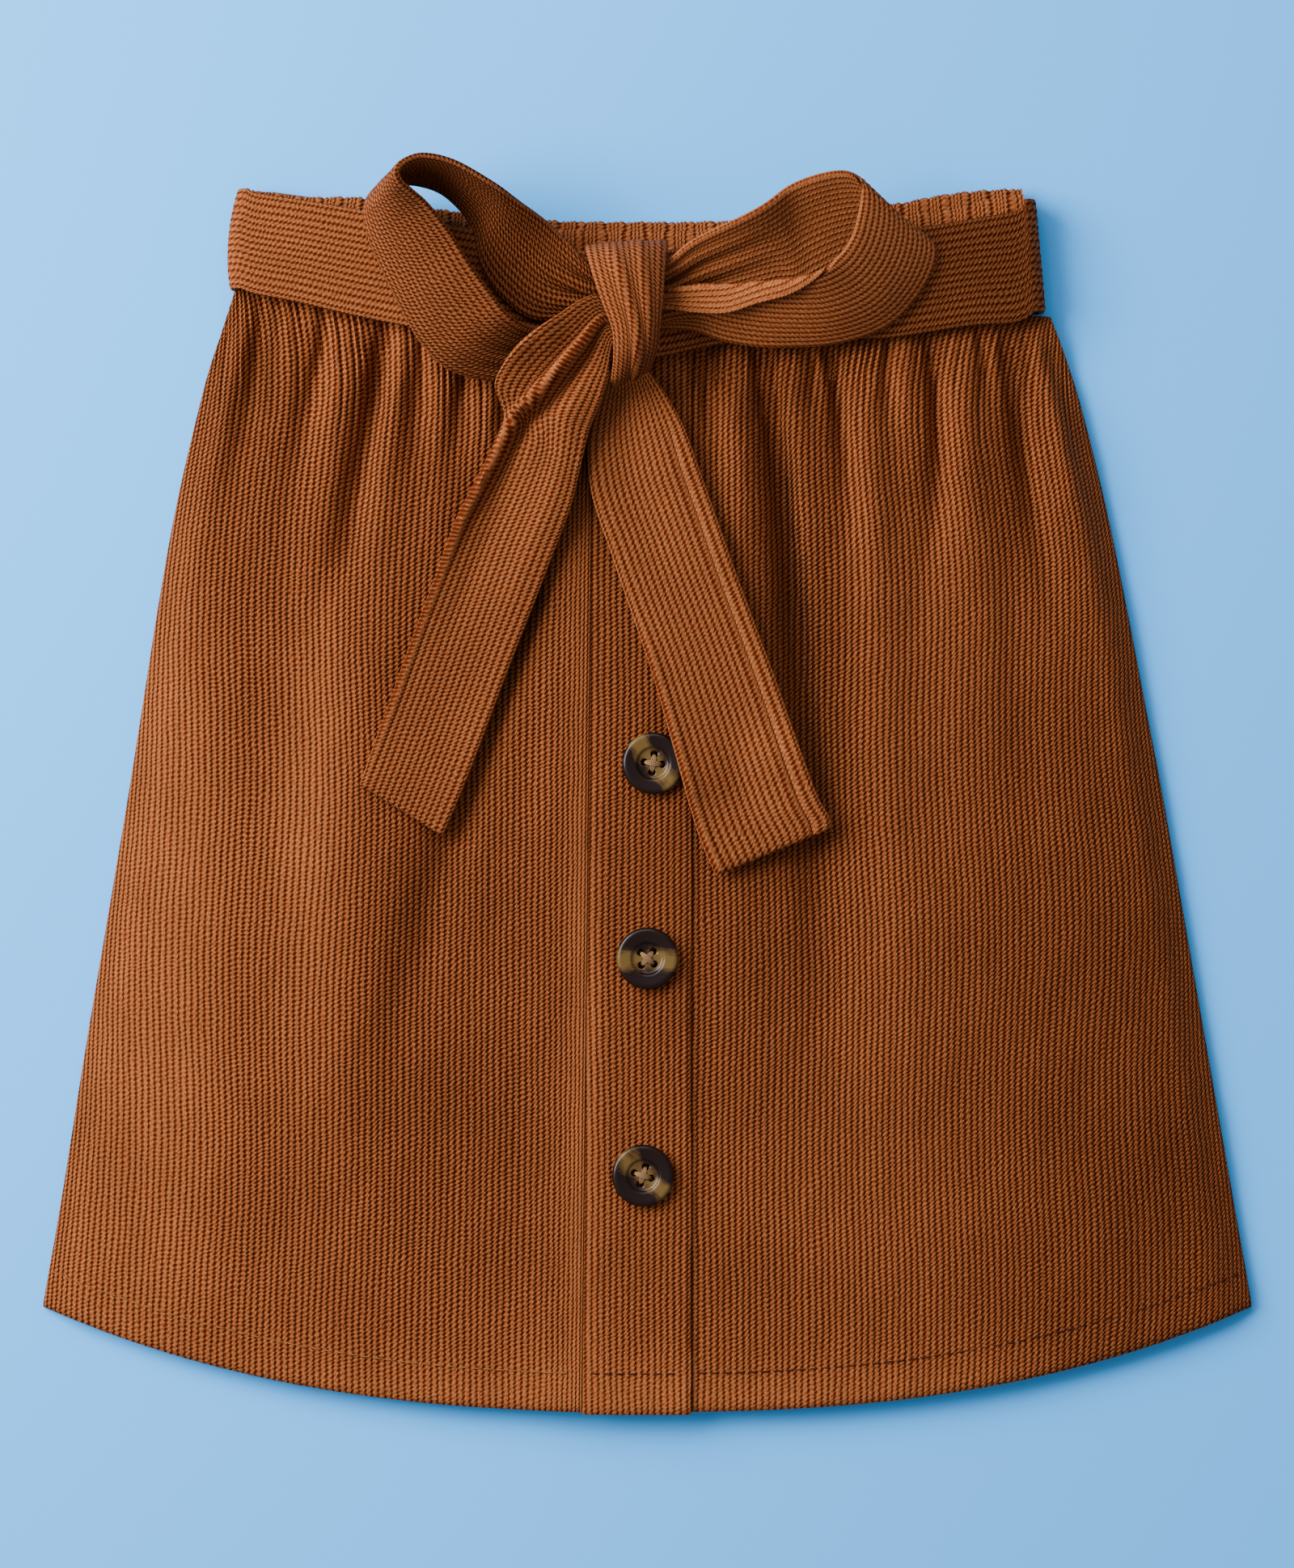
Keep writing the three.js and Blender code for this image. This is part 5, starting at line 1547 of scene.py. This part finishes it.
@dataclass
class Bow:
    """Two standing loops, two tails and the knot, all of the belt's own ribbon."""

    material: bpy.types.Material
    wales: int = 16
    flap_droop: float = math.radians(8)  # how far below level the part that lies over hangs
    bend_soft: float = 2.2  # columns that a loop's bends are rounded over
    pinch_deep: float = 2.2  # depth of the pleats at the knot
    pleats: float = 3.2
    sway: float = 0.25  # unevenness of the loops
    sway_column: int = 20  # the column that their length is measured along for it
    loop_deep: float = 0.18  # depth of the grooves
    knot_wales: int = 13
    knot_thick: float = 2.2
    knot_deep: float = 0.05
    knot_curl: float = 2.6  # how far its sides curl down
    knot_spacing: float = 0.8
    tail_deep: float = 0.13
    tail_spacing: float = 0.95
    tail_feel: float = 2.8  # how far round each point a tail feels for what is below
    slack: int = 30  # how often a tail is eased toward the mean of its neighbours
    ease: float = 0.6  # and how far each time
    end_round: float = 1.6  # how far from its end a tail starts to round off
    end_thin: float = 0.75

    def loop(self, name: str, table: Table, nap: float) -> Piece:
        """Makes a loop, standing on its lower edge and pinched into pleats toward the knot.

        Args:
            name: Name of the piece and of the solid it stands for.
            table: The loop's sections.
            nap: Lean of its pile.

        Returns:
            The piece.
        """
        rim_x, rim_y, aim, lean, share, flap, crown = refine(table, 9).T
        aim, lean = np.radians(aim), np.radians(lean)
        down, face = toward(aim, lean - math.pi / 2), toward(aim, lean)
        wall = LAYERS.belt_width * share - flap
        rest = LAYERS.bow_under + LAYERS.belt / 2 * np.sin(lean)
        rim = np.stack([rim_x, rim_y, rest - down[:, 2] * wall], 1)
        w = wale_steps(self.wales)[None] / self.wales
        reach = w * (wall + flap)[:, None]
        part = np.clip(reach / wall[:, None], 0, 1)[..., None]
        over = np.clip(reach - wall[:, None], 0, None)[..., None]
        belly = face[:, None] * crown[:, None, None] * np.sin(math.pi * part)
        flap_way = toward(aim, 0 * aim - self.flap_droop)
        side = rim[:, None] + down[:, None] * wall[:, None, None] * (1 - part)
        middle = blur(side + belly + flap_way[:, None] * over, self.bend_soft, axis=1)
        turn = normals(middle)
        pinch = self.pinch_deep * (np.clip(1 - share, 0, 1) ** 1.2)[:, None]
        pleat = np.cos(TURN * (self.pleats * w + 0.15)) * np.sin(math.pi * w)
        middle = middle + turn * (pinch * pleat)[..., None]
        sway = ripple(travelled(middle[:, self.sway_column])[:, None], w * LAYERS.belt_width, 34, 30, 31)
        middle = middle + turn * (self.sway * sway * np.sin(math.pi * w))[..., None]
        half = pressed(w, LAYERS.belt)
        piece = band(name, self.material, middle, half, self.wales, self.loop_deep, nap)
        return piece

    def knot(self, nap: float) -> Piece:
        """Makes the knot, one turn of ribbon drawn round and softly creased aslant.

        Args:
            nap: Lean of its pile.

        Returns:
            The piece.
        """
        y, left, right, skew, z = refine(KNOT, 7).T[..., None]
        w = wale_steps(self.knot_wales)[None] / self.knot_wales
        curl = self.knot_curl * np.abs(2 * w - 1) ** 3
        middle = respace(np.stack([mix(left, right, w), y + skew * w, z - curl], -1), self.knot_spacing)
        t = np.linspace(0, 1, len(middle))[:, None]
        crease = -0.9 * bell(w - 0.22 - 0.42 * t, 0.09) * smooth(t, 0.1, 0.4)
        crease = crease - 0.6 * bell(w - 0.60 - 0.26 * t, 0.08) * (1 - smooth(t, 0.5, 0.85))
        crease = crease + 0.15 * np.cos(TURN * (1.6 * w - 0.8 * t))
        middle = middle + normals(middle) * (crease * np.sin(math.pi * w) ** 0.5)[..., None]
        half = pressed(w, self.knot_thick, 0.3)
        piece = band("knot", self.material, middle, half, self.knot_wales, self.knot_deep, nap)
        return piece

    def drape(self, rest: Array, least: Array) -> Array:
        """Lets a ribbon hang over what is below it, bridging the hollows.

        Args:
            rest: Height at which each point would rest alone.
            least: Least height of each row.

        Returns:
            Height of each point.
        """
        z = floor = np.maximum(rest, least)
        for _ in range(self.slack):
            padded = np.pad(z, 1, constant_values=np.nan)
            around = np.stack([padded[:-2, 1:-1], padded[2:, 1:-1], padded[1:-1, :-2], padded[1:-1, 2:]])
            z = np.maximum(floor, mix(z, np.nanmean(around, axis=0), self.ease))
        return z

    def tail(self, name: str, table: Table, ground: Ground, flat_long: float, creases: Sequence[Crease],
             nap: float) -> Piece:
        """Makes a tail, laid over what is below it and bridging the folds.

        Args:
            name: Name of the piece and of the solid it stands for.
            table: The tail's edges and the least height of its middle.
            ground: What lies below it.
            flat_long: Length of belt in it, in metres; not used.
            creases: Soft folds along it.
            nap: Lean of its pile.

        Returns:
            The piece.
        """
        left_x, left_y, right_x, right_y, least = refine(table, 2).T[..., None]
        w = np.linspace(0, 1, 7)[None]
        x, y = mix(left_x, right_x, w), mix(left_y, right_y, w)
        below = np.vectorize(ground.near)(x, y, self.tail_feel)
        rest = below + 0.6 * LAYERS.gap + LAYERS.belt / 2
        rows = respace(np.stack([x, y, self.drape(rest, least)], -1), self.tail_spacing)
        across = wale_steps(self.wales)[None] / self.wales
        middle = resample(rows, across[0] * (w.size - 1), axis=1)
        t = np.linspace(0, 1, len(middle))[:, None]
        middle[..., 2] += sum(crease.lift(across, t) for crease in creases)
        run = down_middle(middle)[:, None]
        to_end = np.minimum(run[-1] - run, self.end_round) / self.end_round
        half = pressed(across, LAYERS.belt) * np.sqrt(1 - self.end_thin * (1 - to_end) ** 2)
        piece = band(name, self.material, middle[::-1], half[::-1], self.wales, self.tail_deep, nap)
        return piece

    def build(self, below: Sequence[Piece], buttons: Sequence[Piece]) -> None:
        """Makes the loops, knot and tails.

        Args:
            below: The skirt, waistband and belt, which the tails are laid on.
            buttons: The buttons, one of which the right tail lies over.
        """
        left = self.loop("loop_left", LOOP_LEFT, 0.54)
        self.loop("loop_right", LOOP_RIGHT, -0.13)
        tail = self.tail("tail_right", TAIL_RIGHT, Ground([*below, *buttons]), 0.130, CREASES_RIGHT, 0.14)
        self.tail("tail_left", TAIL_LEFT, Ground([*below, left, tail]), 0.140, CREASES_LEFT, 0.24)
        self.knot(0.26)


# ---- Buttons and sewing ------------------------------------------------------------------------------------


def thread_tube(cloth: Cloth, line: Array, radius: float, sides: int = 6, nipped: float = 0.45) -> None:
    """Adds a round thread along a line of points, closed at both ends.

    Args:
        cloth: Where to add it.
        line: The points.
        radius: The thread's radius.
        sides: How many sides it has.
        nipped: Share of its radius that it has at its ends.
    """
    way = np.gradient(line, axis=0)
    way /= np.linalg.norm(way, axis=1, keepdims=True)
    side = np.cross([0, 0, 1.0], way)
    side /= np.maximum(np.linalg.norm(side, axis=1, keepdims=True), 1e-6)
    up = np.cross(way, side)
    angle = (np.arange(sides) * TURN / sides)[None, :, None]
    taper = np.where(np.arange(len(line)) % (len(line) - 1) == 0, nipped, 1.0)[:, None, None]
    rings = line[:, None] + radius * taper * (side[:, None] * np.cos(angle) + up[:, None] * np.sin(angle))
    cloth.tube(rings, np.arange(sides)[None] / sides, travelled(line)[:, None])


@dataclass
class Buttons:
    """Three dished four-hole buttons, each sewn on with crossed thread."""

    thread: bpy.types.Material
    hole: float = 0.9
    pitch: float = 3.1  # from hole to hole
    sides: int = 64
    hole_sides: int = 20
    drill: tuple[float, float] = (-2.0, 6.0)  # from below the button to above it
    thread_radius: float = 0.17
    thread_turns: int = 4
    thread_foot: float = 0.9  # height at which the thread dips into the holes
    thread_arch: float = 1.42  # how far it stands above that
    thread_over: float = 0.32  # how much further the turns stand that cross over the others
    feel: float = 4.5  # how far round its middle a button feels for what it lies on
    sunk: float = 0.1
    # Half section from the middle of the back, out round the rim, to the middle of the dish: radius, height.
    profile: tuple[tuple[float, float], ...] = (
        (0.0, 0.0), (5.2, 0.0), (6.6, 0.22), (7.25, 0.75), (7.52, 1.3), (7.6, 1.75), (7.56, 2.25), (7.4, 2.66),
        (7.1, 2.9), (6.7, 3.0), (6.2, 2.96), (5.4, 2.86), (4.7, 2.8), (4.3, 2.76), (4.05, 2.62), (3.85, 2.34),
        (3.6, 2.14), (3.2, 2.06), (1.6, 2.02), (0.0, 2.0),
    )

    def ring(self, centre: tuple[float, float], radius: float, z: float, sides: int) -> Array:
        """Draws a level ring.

        Args:
            centre: Its middle in the plan.
            radius: Its radius.
            z: Its height.
            sides: How many points it has.

        Returns:
            Its points, anticlockwise from the right.
        """
        angle = np.arange(sides) * TURN / sides
        x, y = centre[0] + radius * np.cos(angle), centre[1] + radius * np.sin(angle)
        return np.stack([x, y, z + 0 * angle], 1)

    def drills(self, finish: bpy.types.Material) -> Piece:
        """Makes the four drills, standing about the plan's origin.

        Args:
            finish: The button's material.

        Returns:
            The drills, as one flat-shaded piece.
        """
        cloth, half = Cloth(), self.pitch / 2
        for at in ((-half, -half), (-half, half), (half, -half), (half, half)):
            cloth.tube(np.stack([self.ring(at, self.hole, z, self.hole_sides) for z in self.drill]), 0.0, 0.0)
        piece = cloth.build("drills", finish)
        piece.data.shade_flat()
        return piece

    def disc(self, finish: bpy.types.Material, name: str, centre: Array, turn: float) -> Piece:
        """Makes one button: a turned rim, a shallow dish and four drilled holes.

        Args:
            finish: Its material.
            name: Name of the piece and of the solid it stands for.
            centre: Middle of its underside.
            turn: How far its holes are turned, in radians.

        Returns:
            The piece.
        """
        cloth = Cloth()
        rings = np.stack([self.ring((0, 0), r, z, self.sides) for r, z in self.profile])
        index = cloth.add(rings, rings[..., 0], rings[..., 1])
        index[[0, -1]] = index[[0, -1], :1]
        cloth.quads(np.concatenate([index, index[:, :1]], axis=1))
        piece, drills = cloth.build(name, finish), self.drills(finish)
        cut = piece.modifiers.new("holes", "BOOLEAN")
        cut.object, cut.solver, cut.operation = drills, "EXACT", "DIFFERENCE"
        graph = bpy.context.evaluated_depsgraph_get()
        drilled = bpy.data.meshes.new_from_object(piece.evaluated_get(graph))
        piece.modifiers.clear()
        piece.data = drilled
        bpy.data.objects.remove(drills)
        settle(drilled, centre, turn)
        return piece

    def sewing(self, name: str, centre: Array, turn: float) -> Piece:
        """Makes the thread that crosses between the holes, several turns each way.

        Args:
            name: Name of the piece.
            centre: Middle of the button's underside.
            turn: How far its holes are turned, in radians.

        Returns:
            The piece.
        """
        cloth, half = Cloth(), self.pitch / 2
        t = np.linspace(0, 1, 17)[:, None]
        for way, lift in ((-1, 0.0), (1, self.thread_over)):
            for k in range(self.thread_turns):
                start = np.array([-half, way * half])
                side = np.array([2 * start[1], -2 * start[0]]) / np.linalg.norm(2 * start)
                shift = (k - (self.thread_turns - 1) / 2) * 2 * self.thread_radius
                flat = start * (1 - 2 * t) + side * shift * (0.35 + 0.65 * np.sin(math.pi * t))
                arch = self.thread_arch + lift + 0.05 * (k % 2)
                high = self.thread_foot + arch * np.sin(math.pi * t) ** 0.45
                thread_tube(cloth, np.concatenate([flat, high], axis=1), self.thread_radius)
        spun = cloth.build(name, self.thread)
        settle(spun.data, centre, turn)
        return spun

    def build(self, below: Sequence[Piece]) -> list[Piece]:
        """Makes the three buttons, lying on the placket where their solids lie.

        Args:
            below: The pieces that they may lie on.

        Returns:
            The buttons.
        """
        looks = (
            ("button_1", 38.0, HornResin("horn_resin_1", math.radians(88), 0.2, 3.0)),
            ("button_2", 5.0, HornResin("horn_resin_2", math.radians(8), -0.2, 3.1)),
            ("button_3", 28.0, HornResin("horn_resin_3", math.radians(68), 0.2, 2.9)),
        )
        ground, made = Ground(below), []
        for name, degrees, finish in looks:
            low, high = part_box(name)
            x, y, _ = np.array((low + high) / 2) / MM - TO_FRAME
            centre = np.array([x, y, ground.near(x, y, self.feel) - self.sunk])
            turn = math.radians(degrees)
            made.append(dress(self.disc(finish.build(), name, centre, turn), Slot.HORN, name))
            dress(self.sewing(name + "_thread", centre, turn), Slot.HORN)
        return made


@dataclass
class Sewing:
    """The hem's stitches, in three runs."""

    pale: bpy.types.Material
    dark: bpy.types.Material
    stitch: float = 2.5
    gap: float = 0.55
    radius: float = 0.17
    start: float = 0.4
    hem_up: float = 10.0
    sunk: float = 0.62  # how far a stitch's ends lie below the face
    arch: float = 0.36  # how far its middle stands above its ends
    # Each run from its left end to its right one, and how many points its line has.
    runs: tuple[tuple[float, float, int], ...] = ((-147.5, -17.5, 200), (-14.5, 9.5, 60), (12.0, 147.5, 200))

    def run(self, name: str, x: Array, under: Field, thick: float, thread: bpy.types.Material) -> None:
        """Lays a row of stitches along the hem.

        Args:
            name: Name of the piece.
            x: Places across.
            under: Underside of the cloth.
            thick: Its thickness.
            thread: The thread's material.
        """
        y = FORM.hem(x) + self.hem_up
        run = travelled(np.stack([x, y], 1))
        bend = np.sin(np.linspace(0, math.pi, 7)) ** 0.5
        cloth = Cloth()
        at = self.start
        while at + self.stitch < run[-1]:
            t = np.linspace(at, at + self.stitch, len(bend))
            px, py = np.interp(t, run, x), np.interp(t, run, y)
            pz = under(px, py) + thick - self.sunk + self.arch * bend
            thread_tube(cloth, np.stack([px, py, pz], 1), self.radius)
            at += self.stitch + self.gap
        dress(cloth.build(name, thread), Slot.CORDUROY)

    def build(self) -> None:
        """Makes the three runs, the placket's and the right one in thread like the cloth."""
        left, placket, right = (np.linspace(*run) for run in self.runs)
        self.run("hem_stitches_left", left, FORM.left_under, LAYERS.cloth, self.pale)
        self.run("hem_stitches_placket", placket, FORM.placket_under, LAYERS.placket, self.dark)
        self.run("hem_stitches_right", right, FORM.front_under, LAYERS.cloth, self.dark)


# ---- Studio ------------------------------------------------------------------------------------------------


@dataclass(frozen=True)
class Studio:
    """A flat paper floor, a soft window-like light from the upper left, a wide fill, and a camera above.

    Its sizes are in metres.
    """

    camera_high: float = 1.454
    view_tall: float = 0.3878
    view_at: tuple[float, float] = (-0.0001, -0.0004)
    sensor: float = 36.0
    floor_half: float = 3.0
    floor_drop: float = 0.0002
    air: str = "#E8ECF4"
    air_strength: float = 0.51

    def light(self, name: str, at: tuple[float, float, float], size: float, power: float, colour: str) -> None:
        """Adds a square area light aimed at the skirt.

        Args:
            name: Its name.
            at: Where it hangs.
            size: Its side.
            power: Its power, in watts.
            colour: Its sRGB hex colour.
        """
        lamp = bpy.data.lights.new(name, "AREA")
        lamp.shape, lamp.size, lamp.energy, lamp.color = "SQUARE", size, power, linear(colour)[:3]
        hung = stand(name, lamp)
        hung.location, hung.rotation_mode = at, "QUATERNION"
        hung.rotation_quaternion = (-Vector(at)).to_track_quat("-Z", "Y")

    def build(self) -> None:
        """Makes the floor, lights, world and camera."""
        mesh, r = bpy.data.meshes.new("floor"), self.floor_half
        mesh.from_pydata([(-r, -r, 0), (r, -r, 0), (r, r, 0), (-r, r, 0)], [], [(0, 1, 2, 3)])
        mesh.materials.append(StudioPaper().build())
        floor = stand("floor", mesh)
        floor.location.z = -self.floor_drop
        floor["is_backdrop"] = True
        self.light("window_light", (-0.68, 0.31, 0.58), 0.70, 26.8, "#FBFBFF")
        self.light("fill_light", (-0.25, 1.05, 1.2), 1.0, 11.3, "#F0F5FF")
        world = bpy.data.worlds.new("studio_air")
        world.use_nodes = True
        air = world.node_tree.nodes["Background"].inputs
        air["Color"].default_value, air["Strength"].default_value = linear(self.air), self.air_strength
        bpy.context.scene.world = world
        eye = bpy.data.cameras.new("camera")
        eye.sensor_width, eye.lens = self.sensor, self.sensor * self.camera_high / self.view_tall
        eye.clip_start, eye.clip_end = 0.1, 10.0
        camera = stand("camera", eye)
        camera.location = (self.view_at[0], self.view_at[1] + ORIGIN_Y * MM, self.camera_high)
        bpy.context.scene.camera = camera


def save_sizes() -> None:
    """Works out the solid model's box and the dressed model's box, and keeps neither."""
    boxes = {"cad": CAD_BOX, "visual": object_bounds()}
    {name: [list(corner) for corner in box] for name, box in boxes.items()}


def main() -> None:
    """Builds every piece of the skirt, then the studio round it."""
    logging.basicConfig(level=logging.INFO, format="%(name)s: %(message)s")
    panel_cloth = Corduroy("corduroy").build()
    # The belt's groove colour, like the panels', is partly the ground weave and partly painted shade in the
    # grooves.
    belt_cloth = Corduroy(
        "belt_corduroy", groove="#401402", pile="#6E3315", tip="#935A33", groove_high=0.19, tuft_high=0.09,
    ).build()
    pale = SewingThread("tan_thread", "#7E522B").build()
    dark = SewingThread("brown_thread", "#381808").build()
    beige = SewingThread("beige_button_thread", "#7F6142").build()
    body = Skirt(panel_cloth).build() + Waistband(panel_cloth).build() + Belt(belt_cloth).build()
    buttons = Buttons(beige).build(body)
    Bow(belt_cloth).build(body, buttons)
    Sewing(pale, dark).build()
    Studio().build()
    save_sizes()


if __name__ == "__main__":
    main()
